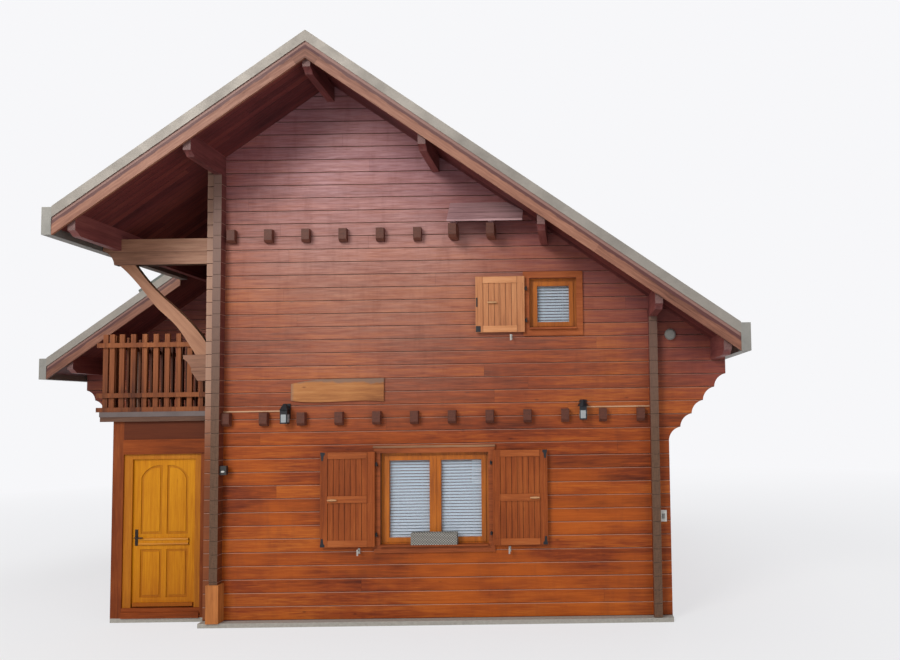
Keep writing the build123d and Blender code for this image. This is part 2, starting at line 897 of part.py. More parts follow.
# Beam of two courses that carries the left eave purlin
with BuildPart() as eave_beam:
    beam_top = course_top(upper_joist_course)
    beam_bottom = course_top(upper_joist_course - beam_courses)
    beam_end = left_eave + beam_end_inset
    beam_high_x = ridge_x - (ridge_soffit - beam_top) / slope
    beam_lip = soffit(beam_end) - beam_lip_drop
    with BuildSketch(Plane.XZ.offset(-front_face)):
        with BuildLine():
            Polyline(
                (beam_end, beam_lip),
                (beam_end, soffit(beam_end)),
                (beam_high_x, beam_top),
                (wall_left_end, beam_top),
                (wall_left_end, beam_bottom),
                (beam_end + beam_end_curve, beam_bottom),
            )
            ThreePointArc(
                (beam_end + beam_end_curve, beam_bottom),
                (beam_end + 0.65 * beam_end_curve, (beam_bottom + beam_lip) / 2 + 0.2 * beam_end_curve),
                (beam_end, beam_lip),
            )
        make_face()
    extrude(amount=-wall)
    purlin_run(left_eave_purlin_x, front_face - wall, front_face + 2 * wall, Mode.SUBTRACT)
export(eave_beam, "eave_beam")

# Bracket of two courses under the brace
with BuildPart() as brace_bracket:
    bracket_top = course_top(bracket_top_course)
    bracket_joint = bracket_top - course
    bracket_bottom = bracket_top - bracket_courses * course
    bracket_end = wall_left_end - bracket_reach
    lower_end = bracket_end + bracket_step
    foot_end = lower_end + bracket_end_curve
    with BuildSketch(Plane.XZ.offset(-front_face)):
        with BuildLine():
            Polyline(
                (foot_end, bracket_bottom),
                (wall_left_end, bracket_bottom),
                (wall_left_end, bracket_top),
                (bracket_end, bracket_top),
                (bracket_end, bracket_top - bracket_lip),
            )
            ThreePointArc(
                (bracket_end, bracket_top - bracket_lip),
                (bracket_end + 0.7 * bracket_step, bracket_joint + 0.45 * (course - bracket_lip)),
                (lower_end, bracket_joint),
            )
            Line((lower_end, bracket_joint), (lower_end, bracket_joint - bracket_lip))
            ThreePointArc(
                (lower_end, bracket_joint - bracket_lip),
                (lower_end + 0.6 * bracket_end_curve, bracket_bottom + 0.45 * (course - bracket_lip)),
                (foot_end, bracket_bottom),
            )
        make_face()
    extrude(amount=-wall)
export(brace_bracket, "brace_bracket")

# Naturally curved brace from the bracket to the beam
with BuildPart() as eave_brace:
    far_top = (left_line - brace_top_far, beam_bottom)
    near_top = (left_line - brace_top_far + brace_top_width, beam_bottom)
    foot = (wall_left_end - brace_foot, bracket_top)
    heel = (wall_left_end, bracket_top)
    shoulder = (wall_left_end, bracket_top + brace_heel)

    def along(start, end, part, rise):
        """Point a part of the way between two others, raised by a bow."""
        return (start[0] + part * (end[0] - start[0]), start[1] + part * (end[1] - start[1]) + rise)

    with BuildSketch(Plane.XZ.offset(-front_face - brace_inset)):
        with BuildLine():
            Spline(
                far_top,
                along(far_top, foot, 0.34, 36),
                along(far_top, foot, 0.52, 32),
                along(far_top, foot, 0.72, 84),
                along(far_top, foot, 0.88, 52),
                foot,
            )
            Polyline(foot, heel, shoulder)
            Spline(
                shoulder,
                along(near_top, shoulder, 0.76, 38),
                along(near_top, shoulder, 0.56, 12),
                along(near_top, shoulder, 0.38, -26),
                along(near_top, shoulder, 0.2, -38),
                near_top,
            )
            Line(near_top, far_top)
        make_face()
    extrude(amount=2 * brace_inset - wall)
export(eave_brace, "eave_brace")

# Entrance bay under the balcony
with BuildPart() as bay_left_wall:
    wall_along_y(
        bay_face + wall, wing_face, bay_left_face, bay_left_face + wall, slab_height, deck_underside
    )
export(bay_left_wall, "bay_left_wall")

frame_left_x = bay_left_face + bay_post_width
door_left_x = frame_left_x + frame_left + door_gap
door_right_x = door_left_x + door_width
frame_right_x = door_right_x + door_gap + frame_right
leaf_bottom = door_floor + door_gap
leaf_top = leaf_bottom + door_height
frame_top = leaf_top + door_gap + frame_head
frame_front = bay_face + frame_setback
leaf_front = frame_front + frame_front_lip + door_gap
leaf_back = leaf_front + door_thickness

with BuildPart() as bay_posts:
    block((bay_left_face, frame_left_x), (bay_face, bay_face + wall), (slab_height, deck_underside))
    block((frame_right_x, room_face), (bay_face, bay_face + wall), (slab_height, frame_top))
export(bay_posts, "bay_posts")

with BuildPart() as bay_lintel:
    block((frame_left_x, room_face), (bay_face, bay_face + wall), (frame_top, deck_underside))
    block(
        (frame_left_x, room_face),
        (bay_face - lintel_proud, bay_face),
        (frame_top, frame_top + lintel_board),
    )
export(bay_lintel, "bay_lintel")

with BuildPart() as door_frame:
    frame_range = (frame_front, frame_front + frame_depth)
    block((frame_left_x, frame_right_x), frame_range, (door_floor, frame_top))
    block(
        (frame_left_x + frame_left, frame_right_x - frame_right),
        (frame_front + frame_front_lip, frame_front + frame_depth),
        (door_floor, frame_top - frame_head),
        Mode.SUBTRACT,
    )
    block(
        (frame_left_x + frame_left + frame_stop, frame_right_x - frame_right - frame_stop),
        frame_range,
        (door_floor, frame_top - frame_head - frame_stop),
        Mode.SUBTRACT,
    )
export(door_frame, "door_frame")

with BuildPart() as door_sill:
    block(
        (frame_left_x, frame_right_x),
        (bay_face - sill_proud, bay_face + wall),
        (slab_height, door_floor - threshold_height),
    )
    block(
        (frame_left_x, frame_right_x),
        (bay_face, bay_face + wall),
        (door_floor - threshold_height, door_floor),
    )
export(door_sill, "door_sill")

# Entrance door leaf: a pair of arched panels over a pair of plain ones, on both faces
panel_left = door_left_x + door_stile
panel_right = door_right_x - door_stile
panel_middle = (panel_left + panel_right) / 2
mid_rail_bottom = leaf_bottom + door_mid_rail_up
mid_rail_top = mid_rail_bottom + door_mid_rail
arch_crown = leaf_top - door_top_rail
arch_spring = arch_crown - door_arch_rise
lower_panel_bottom = leaf_bottom + door_bottom_rail


def arched_panel(x_low, x_high, inset):
    """Outline of an upper panel whose top is half of the arch over the pair."""
    inner, outer = (x_low, x_high) if x_high > panel_middle else (x_high, x_low)
    toward = 1 if outer > inner else -1
    crown = (inner + toward * inset, arch_crown - inset)
    spring = (outer - toward * inset, arch_spring - inset)
    shoulder_x = inner + toward * 0.62 * abs(outer - inner)
    shoulder = (shoulder_x, arch_spring + 0.78 * door_arch_rise - inset)
    with BuildLine() as outline:
        ThreePointArc(crown, shoulder, spring)
        Polyline(
            spring,
            (spring[0], mid_rail_top + inset),
            (crown[0], mid_rail_top + inset),
            crown,
        )
    return outline.line


def panel_recess(plane, depth, inset, mode):
    """The four panels of one face of the leaf, cut or raised by a depth."""
    half_muntin = door_muntin / 2
    sides = [(panel_left, panel_middle - half_muntin), (panel_middle + half_muntin, panel_right)]
    for x_low, x_high in sides:
        outline = arched_panel(x_low, x_high, inset)
        with BuildSketch(plane) as section:
            make_face(outline.edges())
            with Locations(((x_low + x_high) / 2, (lower_panel_bottom + mid_rail_bottom) / 2)):
                Rectangle(x_high - x_low - 2 * inset, mid_rail_bottom - lower_panel_bottom - 2 * inset)
        extrude(section.sketch, amount=depth, mode=mode)


with BuildPart() as door_leaf:
    block((door_left_x, door_right_x), (leaf_front, leaf_back), (leaf_bottom, leaf_top))
    panel_recess(Plane.XZ.offset(-leaf_front), -panel_depth, 0, Mode.SUBTRACT)
    panel_recess(Plane.XZ.offset(-leaf_front - panel_depth), panel_field, panel_border, Mode.ADD)
    panel_recess(Plane.XZ.offset(-leaf_back), panel_depth, 0, Mode.SUBTRACT)
    panel_recess(Plane.XZ.offset(-leaf_back + panel_depth), -panel_field, panel_border, Mode.ADD)
    block(
        (door_left_x + weather_bar, door_right_x - weather_bar),
        (leaf_front - weather_bar, leaf_front),
        (leaf_bottom + door_gap, leaf_bottom + door_gap + 2 * weather_bar),
    )
    moulding_middle = (mid_rail_bottom + mid_rail_top) / 2
    block(
        (panel_left - door_moulding_overlap, panel_right + door_moulding_overlap),
        (leaf_front - door_moulding_proud, leaf_front),
        (moulding_middle - door_moulding / 2, moulding_middle + door_moulding / 2),
    )
export(door_leaf, "door_leaf")

# Hinges on the inner face: eyes on the leaf round pins that stand on the frame
door_hinge_x = door_right_x + door_gap / 2
door_hinge_y = leaf_back + door_hinge_proud

with BuildPart() as door_leaf_hinges:
    for level in door_hinge_levels:
        eye_z = (level - strap_height, level + strap_height)
        upright(door_hinge_x, door_hinge_y, eye_z, eye_radius)
        block(
            (door_right_x - door_hinge_plate, door_hinge_x),
            (leaf_back, leaf_back + strap_thickness),
            eye_z,
        )
        upright(door_hinge_x, door_hinge_y, eye_z, pin_radius + eye_clearance, Mode.SUBTRACT)
export(door_leaf_hinges, "door_leaf_hinges")

with BuildPart() as door_hinge_pins:
    for level in door_hinge_levels:
        eye_bottom = level - strap_height - eye_clearance
        bracket_z = (eye_bottom - pin_bracket_height, eye_bottom)
        pin_top = level + strap_height + pin_bracket_height
        upright(door_hinge_x, door_hinge_y, (bracket_z[0], pin_top), pin_radius)
        block(
            (door_hinge_x - pin_radius, door_hinge_x + door_hinge_foot),
            (door_hinge_y - pin_radius, door_hinge_y + pin_radius),
            bracket_z,
        )
        block(
            (door_hinge_x + door_gap, door_hinge_x + door_hinge_foot),
            (leaf_back, door_hinge_y),
            bracket_z,
        )
export(door_hinge_pins, "door_hinge_pins")

# Lever handles on both faces
with BuildPart() as door_handles:
    handle_x = door_left_x + handle_from_edge
    for face_y, out in ((leaf_front, -1), (leaf_back, 1)):
        block(
            (handle_x - handle_plate_width / 2, handle_x + handle_plate_width / 2),
            (face_y, face_y + out * handle_plate),
            (handle_level - handle_plate_height / 2, handle_level + handle_plate_height / 2),
        )
        with BuildSketch(Plane.XZ.offset(-face_y)) as stem:
            with Locations((handle_x, handle_level)):
                RegularPolygon(handle_radius, pin_sides)
        extrude(stem.sketch, amount=-out * handle_standoff)
        with BuildSketch(Plane.YZ.offset(handle_x - handle_radius)) as lever:
            with Locations((face_y + out * handle_standoff, handle_level)):
                RegularPolygon(handle_radius, pin_sides)
        extrude(lever.sketch, amount=handle_length)
export(door_handles, "door_handles")

# Balcony deck on the entrance bay, with a sheet metal edge
with BuildPart() as balcony_deck:
    block((deck_left, room_face), (deck_front, wing_face), (deck_underside, deck_top))
export(balcony_deck, "balcony_deck")

with BuildPart() as deck_drip_edge:
    block(
        (deck_left - drip_thickness, room_face),
        (deck_front - drip_thickness, deck_front),
        (deck_top - drip_height, deck_top),
    )
    block(
        (deck_left - drip_thickness, deck_left),
        (deck_front, wing_face),
        (deck_top - drip_height, deck_top),
    )
export(deck_drip_edge, "deck_drip_edge")


# Balcony railings: rails in front of balusters
def rail_levels():
    """Middle heights of the sole rail, the low rail and the top rail."""
    return [deck_top + rail_height / 2, low_rail_level, top_rail_level]


rail_front_y = deck_front + railing_inset
baluster_front_y = rail_front_y + rail_depth
rail_left_x = deck_left + railing_inset
baluster_left_x = rail_left_x + rail_depth

with BuildPart() as balcony_railing_front:
    for level in rail_levels():
        block(
            (deck_left - rail_overrun, room_face),
            (rail_front_y, baluster_front_y),
            (level - rail_height / 2, level + rail_height / 2),
        )
    first = deck_left + first_baluster
    count = int((room_face - first - baluster_width / 2) // baluster_spacing) + 1
    corner_x = deck_left + baluster_width / 2
    places = [corner_x, corner_x + corner_baluster_gap]
    places += [first + i * baluster_spacing for i in range(count)]
    for x in places:
        block(
            (x - baluster_width / 2, x + baluster_width / 2),
            (baluster_front_y, baluster_front_y + baluster_depth),
            (deck_top + baluster_foot, baluster_top),
        )
export(balcony_railing_front, "balcony_railing_front")

with BuildPart() as balcony_railing_side:
    side_start = baluster_front_y + baluster_depth
    for level in rail_levels():
        block(
            (rail_left_x, baluster_left_x),
            (side_start, wing_face),
            (level - rail_height / 2, level + rail_height / 2),
        )
    count = int((wing_face - side_start - baluster_width) // baluster_spacing)
    for i in range(count):
        y = wing_face - (i + 0.5) * baluster_spacing
        block(
            (baluster_left_x, baluster_left_x + baluster_depth),
            (y - baluster_width / 2, y + baluster_width / 2),
            (deck_top + baluster_foot, baluster_top),
        )
export(balcony_railing_side, "balcony_railing_side")

# Glazed door between the upper room and the balcony, shut
with BuildPart() as balcony_door:
    door_mid_y = (inner_door_start + inner_door_end) / 2
    balcony_face = facing(room_face, door_mid_y, deck_top, (0, -1, 0), (-1, 0, 0))
    half = inner_door_width / 2
    balcony_depth = (-window_inset - window_frame_depth, -window_inset)
    slab_on(balcony_face, (-half, half), (0, balcony_door_height), balcony_depth)
    balcony_pane = (
        (-half + sash_border, half - sash_border),
        (balcony_door_height / 3, balcony_door_height - sash_border),
    )
    slab_on(balcony_face, *balcony_pane, (-wall - window_frame_depth, 0), Mode.SUBTRACT)
export(balcony_door, "balcony_door")

# Windows: casings outside, frames with their sashes, glass
with BuildPart() as window_casings:
    for plane, width, height, panes in windows:
        slab_on(
            plane,
            (-width / 2 - casing_width, width / 2 + casing_width),
            (-casing_width, height + casing_width),
            (0, casing_thickness),
        )
        slab_on(plane, (-width / 2, width / 2), (0, height), (0, casing_thickness), Mode.SUBTRACT)
        slab_on(plane, (-width / 2, width / 2), (0, sill_thickness), (-window_inset, sill_depth))
export(window_casings, "window_casings")

with BuildPart() as window_frames:
    for plane, width, height, panes in windows:
        depth = (-window_inset - window_frame_depth, -window_inset)
        slab_on(plane, (-width / 2, width / 2), (0, height), depth)
        for across, up in pane_ranges(width, height, panes):
            slab_on(plane, across, up, (depth[0] - 1, depth[1] + 1), Mode.SUBTRACT)
export(window_frames, "window_frames")

with BuildPart() as window_glass:
    glass_back = -window_inset - window_frame_depth / 2 - glass_thickness / 2
    glass_range = (glass_back, glass_back + glass_thickness)
    for plane, width, height, panes in windows:
        for across, up in pane_ranges(width, height, panes):
            slab_on(plane, across, up, glass_range)
    slab_on(balcony_face, *balcony_pane, glass_range)
export(window_glass, "window_glass")

# Shutters of the front windows, hung on pins in the casings
hinge_y = front_face - hinge_proud
lower_hinge_out = lower_window_width / 2 + hinge_beside_opening
upper_hinge_out = upper_window_width / 2 + hinge_beside_opening
lower_leaf_width = lower_hinge_out - shutter_hinge_offset - shutter_meeting_gap / 2
upper_leaf_width = 2 * upper_hinge_out - shutter_hinge_offset - hinge_beside_opening + shutter_lap
left_hinge_x = lower_window_x - lower_hinge_out
right_hinge_x = lower_window_x + lower_hinge_out
upper_hinge_x = upper_window_x - upper_hinge_out
leaf_y = (hinge_y + shutter_back_gap, hinge_y + shutter_back_gap + shutter_thickness)


def strap_levels(bottom, height):
    """Middle heights of the two strap hinges of a leaf."""
    return [bottom + hinge_from_end, bottom + height - hinge_from_end]


def shutter_leaf(hinge_x, side, bottom, width, height, ledges):
    """Open leaf whose face is sunk between its stiles and ledges."""
    near = hinge_x + side * shutter_hinge_offset
    far = near + side * width
    low, high = sorted((near, far))
    block((low, high), leaf_y, (bottom, bottom + height))
    gaps = ledges - 1
    ledge_starts = [bottom + i * (height - ledge_height) / gaps for i in range(ledges)]
    for start, following in zip(ledge_starts, ledge_starts[1:]):
        block(
            (low + shutter_stile, high - shutter_stile),
            (leaf_y[0], leaf_y[0] + ledge_thickness),
            (start + ledge_height, following),
            Mode.SUBTRACT,
        )
    for level in strap_levels(bottom, height):
        strap_near = hinge_x + side * shutter_hinge_offset
        strap_far = strap_near + side * strap_length
        block(
            (strap_near, strap_far),
            (leaf_y[1] - strap_thickness, leaf_y[1]),
            (level - strap_height / 2, level + strap_height / 2),
            Mode.SUBTRACT,
        )


def shutter_hinges(hinge_x, side, bottom, height):
    """Eyes round the pins, each with an arm to a strap let into the leaf."""
    for level in strap_levels(bottom, height):
        eye_z = (level - strap_height / 2, level + strap_height / 2)
        upright(hinge_x, hinge_y, eye_z, eye_radius)
        block(
            (hinge_x - arm_width / 2, hinge_x + arm_width / 2),
            (hinge_y + pin_radius, leaf_y[1]),
            eye_z,
        )
        strap_far = hinge_x + side * (shutter_hinge_offset + strap_length)
        block(
            (hinge_x - side * arm_width / 2, strap_far),
            (leaf_y[1] - strap_thickness, leaf_y[1]),
            eye_z,
        )
        upright(hinge_x, hinge_y, eye_z, pin_radius + eye_clearance, Mode.SUBTRACT)


with BuildPart() as shutter_left:
    shutter_leaf(left_hinge_x, -1, lower_shutter_bottom, lower_leaf_width, lower_shutter_height, 3)
export(shutter_left, "shutter_left")
with BuildPart() as shutter_right:
    shutter_leaf(right_hinge_x, 1, lower_shutter_bottom, lower_leaf_width, lower_shutter_height, 3)
export(shutter_right, "shutter_right")
with BuildPart() as shutter_upper:
    shutter_leaf(upper_hinge_x, -1, upper_shutter_bottom, upper_leaf_width, upper_shutter_height, 2)
export(shutter_upper, "shutter_upper")

with BuildPart() as shutter_left_hinges:
    shutter_hinges(left_hinge_x, -1, lower_shutter_bottom, lower_shutter_height)
export(shutter_left_hinges, "shutter_left_hinges")
with BuildPart() as shutter_right_hinges:
    shutter_hinges(right_hinge_x, 1, lower_shutter_bottom, lower_shutter_height)
export(shutter_right_hinges, "shutter_right_hinges")
with BuildPart() as shutter_upper_hinges:
    shutter_hinges(upper_hinge_x, -1, upper_shutter_bottom, upper_shutter_height)
export(shutter_upper_hinges, "shutter_upper_hinges")

with BuildPart() as shutter_pins:
    hung = [
        (left_hinge_x, lower_shutter_bottom, lower_shutter_height),
        (right_hinge_x, lower_shutter_bottom, lower_shutter_height),
        (upper_hinge_x, upper_shutter_bottom, upper_shutter_height),
    ]
    for hinge_x, bottom, height in hung:
        for level in strap_levels(bottom, height):
            eye_bottom = level - strap_height / 2 - eye_clearance
            block(
                (hinge_x - pin_bracket_width / 2, hinge_x + pin_bracket_width / 2),
                (hinge_y - pin_radius, front_face - casing_thickness),
                (eye_bottom - pin_bracket_height, eye_bottom),
            )
            pin_top = level + strap_height / 2 + pin_bracket_height
            upright(hinge_x, hinge_y, (eye_bottom - pin_bracket_height, pin_top), pin_radius)
export(shutter_pins, "shutter_pins")

# Planter trough on the lower sill
with BuildPart() as planter_trough:
    planter_bottom = lower_window_bottom + sill_thickness
    planter_front = hinge_y + planter_clearance
    block(
        (lower_window_x - planter_length / 2, lower_window_x + planter_length / 2),
        (planter_front, planter_front + planter_depth),
        (planter_bottom, planter_bottom + planter_height),
    )
    block(
        (
            lower_window_x - planter_length / 2 + planter_wall,
            lower_window_x + planter_length / 2 - planter_wall,
        ),
        (planter_front + planter_wall, planter_front + planter_depth - planter_wall),
        (planter_bottom + planter_soil, planter_bottom + planter_height),
        Mode.SUBTRACT,
    )
export(planter_trough, "planter_trough")

# Small sloping roof over the last two upper joists, cut off under the main roof
with BuildPart() as front_canopy:
    canopy_low = upper_floor_level + canopy_clearance
    canopy_high = canopy_low + canopy_rise
    prism_yz(
        [
            (front_face, canopy_high),
            (front_face, canopy_high - canopy_thickness),
            (front_face - canopy_reach, canopy_low),
            (front_face - canopy_reach, canopy_low + canopy_thickness),
        ],
        upper_joists_x[-2] - canopy_side,
        upper_joists_x[-1] + canopy_end,
    )
    under_roof = [
        (ridge_x, slab_height),
        (ridge_x, ridge_soffit),
        (right_eave, soffit(right_eave)),
        (right_eave, slab_height),
    ]
    prism_xz(under_roof, front_face - verge_overhang, front_face + wall, Mode.INTERSECT)
    strut_start = front_face - joist_long_nose + joist_chamfer
    rafter_slope = (canopy_rise - canopy_thickness) / canopy_reach
    strut_high = canopy_high - canopy_thickness
    strut_low = strut_high - rafter_slope * (front_face - strut_start)
    for joist_x in upper_joists_x[-2:]:
        prism_yz(
            [
                (strut_start, upper_floor_level),
                (strut_start, strut_low),
                (front_face, strut_high),
                (front_face, upper_floor_level),
            ],
            joist_x - canopy_strut / 2,
            joist_x + canopy_strut / 2,
        )
export(front_canopy, "front_canopy")

# Live-edged board for a name, bare
with BuildPart() as name_board:
    board_right = board_left + board_length
    with BuildSketch(Plane.XZ.offset(-front_face)):
        with BuildLine():
            Spline(
                (board_left, board_bottom + 0.79 * board_height),
                (board_left + 0.24 * board_length, board_bottom + 0.94 * board_height),
                (board_left + 0.6 * board_length, board_bottom + 0.99 * board_height),
                (board_right, board_bottom + board_height),
            )
            Line((board_right, board_bottom + board_height), (board_right, board_bottom))
            Spline(
                (board_right, board_bottom),
                (board_left + 0.5 * board_length, board_bottom + 0.02 * board_height),
                (board_left + 0.25 * board_length, board_bottom),
                (board_left, board_bottom + 0.08 * board_height),
            )
            Line(
                (board_left, board_bottom + 0.08 * board_height),
                (board_left, board_bottom + 0.79 * board_height),
            )
        make_face()
    extrude(amount=board_thickness)
export(name_board, "name_board")


# Wall lanterns: a plate and arm, a glass body and a cap
def wall_lantern(x):
    """Lantern that hangs in front of the gable at x."""
    lamp_y = front_face - lantern_out
    with Locations((x, lamp_y, lantern_bottom + lantern_height / 2)):
        Box(lantern_width, lantern_width, lantern_height)
    with BuildSketch(Plane.XY.offset(lantern_bottom + lantern_height)) as cap:
        with Locations((x, lamp_y)):
            RegularPolygon(0.8 * lantern_width, 8)
    extrude(cap.sketch, amount=lantern_cap, taper=lantern_cap_taper)
    block(
        (x - lantern_arm / 2, x + lantern_arm / 2),
        (lamp_y, front_face),
        (lantern_bottom + lantern_height, lantern_bottom + lantern_height + lantern_arm),
    )
    block(
        (x - lantern_width / 2, x + lantern_width / 2),
        (front_face - lantern_plate, front_face),
        (lantern_bottom + 0.35 * lantern_height, lantern_bottom + lantern_height + lantern_cap),
    )


with BuildPart() as wall_lanterns:
    wall_lantern(left_lantern_x)
    wall_lantern(right_lantern_x)
export(wall_lanterns, "wall_lanterns")

# Cable conduit along the wall just over the lower joists
with BuildPart() as cable_conduit:
    conduit_bottom = lower_floor_level + conduit_over_joists
    lantern_side = lantern_width / 2
    runs = [
        (left_line + wall / 2, left_lantern_x - lantern_side),
        (right_lantern_x + lantern_side, right_line - wall / 2),
    ]
    for x_range in runs:
        block(
            x_range,
            (front_face - conduit_size, front_face),
            (conduit_bottom, conduit_bottom + conduit_size),
        )
export(cable_conduit, "cable_conduit")

# Round lamp by the right corner, sensor lamp by the entrance and a switch box
with BuildPart() as bulkhead_lamp:
    with BuildSketch(Plane.XZ.offset(-front_face)):
        with Locations((bulkhead_x, bulkhead_level)):
            Circle(bulkhead_radius)
    extrude(amount=bulkhead_depth)
    chamfer(bulkhead_lamp.edges().sort_by(Axis.Y)[0], length=bulkhead_depth / 3)
export(bulkhead_lamp, "bulkhead_lamp")

with BuildPart() as porch_sensor:
    block(
        (left_line + wall / 2, left_line + wall / 2 + sensor_width),
        (front_face - crossing + sensor_inset, front_face - crossing + sensor_inset + sensor_depth),
        (sensor_level, sensor_level + sensor_height),
    )
export(porch_sensor, "porch_sensor")

with BuildPart() as switch_box:
    block(
        (wall_right_end - switch_from_end - switch_width, wall_right_end - switch_from_end),
        (front_face - switch_depth, front_face),
        (switch_level, switch_level + switch_height),
    )
export(switch_box, "switch_box")

# Boxed foot round the left corner
with BuildPart() as corner_base_cover:
    cover_front = front_face - crossing - cover_thickness
    cover_left = left_line - wall / 2 - cover_thickness
    cover_right = left_line + wall / 2 + cover_thickness
    block((cover_left, cover_right), (cover_front, front_face - crossing), (slab_height, cover_height))
    for x_range in ((cover_left, left_line - wall / 2), (left_line + wall / 2, cover_right)):
        block(x_range, (front_face - crossing, front_face), (slab_height, cover_height))
export(corner_base_cover, "corner_base_cover")

# Rain pipe from the left gutter down the wing roof, resting on its seams
with BuildPart() as rain_pipe:
    pipe_over_roof = covering_rise + (seam_height + pipe_radius) * lift
    pipe_top = (left_eave - gutter_width, soffit(left_eave - gutter_width) + pipe_over_roof)
    pipe_end = (pipe_top[0] - pipe_run, pipe_top[1] - slope * pipe_run)
    with BuildLine(Plane.XZ.offset(-pipe_y)) as pipe_path:
        Line(pipe_top, pipe_end)
    with BuildSketch(Plane(origin=pipe_path.line @ 0, z_dir=pipe_path.line % 0)):
        Circle(pipe_radius)
        Circle(pipe_radius - pipe_wall, mode=Mode.SUBTRACT)
    sweep()
export(rain_pipe, "rain_pipe")
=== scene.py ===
import math
import random

import bmesh
import bpy
from mathutils import Matrix, Vector


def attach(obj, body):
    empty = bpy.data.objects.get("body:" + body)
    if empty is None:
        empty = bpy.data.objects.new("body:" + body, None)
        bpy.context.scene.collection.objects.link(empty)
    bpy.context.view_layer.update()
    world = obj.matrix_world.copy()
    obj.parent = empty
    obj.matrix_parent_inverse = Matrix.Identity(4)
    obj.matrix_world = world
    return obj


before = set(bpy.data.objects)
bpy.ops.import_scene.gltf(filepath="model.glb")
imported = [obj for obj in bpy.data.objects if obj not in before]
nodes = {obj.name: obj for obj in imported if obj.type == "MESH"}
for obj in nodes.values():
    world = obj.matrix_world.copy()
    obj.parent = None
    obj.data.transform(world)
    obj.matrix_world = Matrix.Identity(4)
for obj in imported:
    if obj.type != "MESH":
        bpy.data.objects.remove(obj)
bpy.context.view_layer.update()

X, Y, Z = 0, 1, 2

# Sizes shared with the model, in metres. FRONT and REAR are the outer faces of the gables,
# LEFT_FACE that of the wall at the left of the main room, LEAF_FACE that of the open shutter
# leaves and DOOR_FACE that of the entrance leaf. DOOR_BAR is the top of its weather bar.
SLAB = 0.060
COURSE = 0.185
FRONT = -4.2
REAR = 4.2
LEFT_FACE = -3.1075
PITCH = math.radians(35)
RIDGE_X = -1.5
RIDGE_Z = 7.641
LEAF_FACE = FRONT - 0.075
DOOR_FACE = -3.950
DOOR_BAR = 0.267

# Shutter leaves: left and right edge of the sunk field in the face of each, its depth, the width of
# the rim round it, the thickness of a leaf, and the width of the stiles laid in a field
LEFT_FIELD = (-1.585, -0.875)
RIGHT_FIELD = (0.815, 1.525)
UPPER_FIELD = (0.5925, 1.2325)
FIELD_DEPTH = 0.014
LEAF_RIM = 0.025
LEAF_THICK = 0.035
STILE = 0.080

# Kept between faces that would otherwise share a plane
HAIR = 0.0005


def rgb(red, green, blue):
    """Linear colour of a colour given as on a screen, 0 to 255."""
    parts = []
    for value in (red, green, blue):
        part = value / 255
        parts.append(part / 12.92 if part <= 0.04045 else ((part + 0.055) / 1.055) ** 2.4)
    return (*parts, 1.0)


def shade(colour, factor):
    """A darker or lighter tone of a linear colour."""
    return (*(min(1.0, part * factor) for part in colour[:3]), 1.0)


class Shader:
    """A node material, built by short calls."""

    def __init__(self, name):
        self.material = bpy.data.materials.new(name)
        self.material.use_nodes = True
        self.tree = self.material.node_tree
        self.bsdf = self.tree.nodes["Principled BSDF"]

    def plug(self, socket, value):
        """Link another node's output to a socket, or write a constant on it."""
        if isinstance(value, bpy.types.NodeSocket):
            self.tree.links.new(value, socket)
        else:
            socket.default_value = value

    def node(self, kind, sockets=None, **settings):
        made = self.tree.nodes.new(kind)
        for key, value in settings.items():
            setattr(made, key, value)
        for key, value in (sockets or {}).items():
            self.plug(made.inputs[key], value)
        return made

    def math(self, operation, first, second=0.0):
        sockets = {0: first, 1: second}
        return self.node("ShaderNodeMath", sockets, operation=operation).outputs[0]

    def add(self, first, second):
        return self.math("ADD", first, second)

    def subtract(self, first, second):
        return self.math("SUBTRACT", first, second)

    def multiply(self, first, second):
        return self.math("MULTIPLY", first, second)

    def absolute(self, value):
        return self.math("ABSOLUTE", value)

    def mix(self, factor, first, second):
        # The colour sockets of a Mix node are 6 and 7, and its colour output is 2
        sockets = {0: factor, 6: first, 7: second}
        return self.node("ShaderNodeMix", sockets, data_type="RGBA").outputs[2]

    def ramp(self, factor, stops):
        made = self.node("ShaderNodeValToRGB", {"Fac": factor})
        elements = made.color_ramp.elements
        while len(elements) < len(stops):
            elements.new(0.5)
        for element, (position, colour) in zip(elements, stops):
            element.position = position
            element.color = colour
        return made.outputs[0]

    def between(self, value, low, high, out_low=0.0, out_high=1.0):
        sockets = {0: value, 1: low, 2: high, 3: out_low, 4: out_high}
        return self.node("ShaderNodeMapRange", sockets).outputs[0]

    def coordinate(self, kind="Object"):
        return self.node("ShaderNodeTexCoord").outputs[kind]

    def split(self, vector):
        return self.node("ShaderNodeSeparateXYZ", {0: vector}).outputs

    def combine(self, x, y, z=0.0):
        return self.node("ShaderNodeCombineXYZ", {0: x, 1: y, 2: z}).outputs[0]

    def scaled(self, vector, factors):
        sockets = {0: vector, 1: factors}
        return self.node("ShaderNodeVectorMath", sockets, operation="MULTIPLY").outputs[0]

    def noise(self, vector, scale, detail=3.0, rough=0.5, distortion=0.0):
        sockets = {"Vector": vector, "Scale": scale, "Detail": detail, "Roughness": rough,
                   "Distortion": distortion}
        return self.node("ShaderNodeTexNoise", sockets).outputs[0]

    def white(self, vector):
        sockets = {"Vector": vector}
        return self.node("ShaderNodeTexWhiteNoise", sockets, noise_dimensions="3D").outputs[0]

    def set(self, name, value):
        self.plug(self.bsdf.inputs[name], value)

    def colour(self, value):
        self.set("Base Color", value)

    def bump(self, height, strength, distance):
        sockets = {"Height": height, "Strength": strength, "Distance": distance}
        self.set("Normal", self.node("ShaderNodeBump", sockets).outputs[0])


def from_ridge(s, at):
    """Distance sideways from the ridge, and depth below it."""
    return s.absolute(s.subtract(at[X], RIDGE_X)), s.subtract(RIDGE_Z, at[Z])


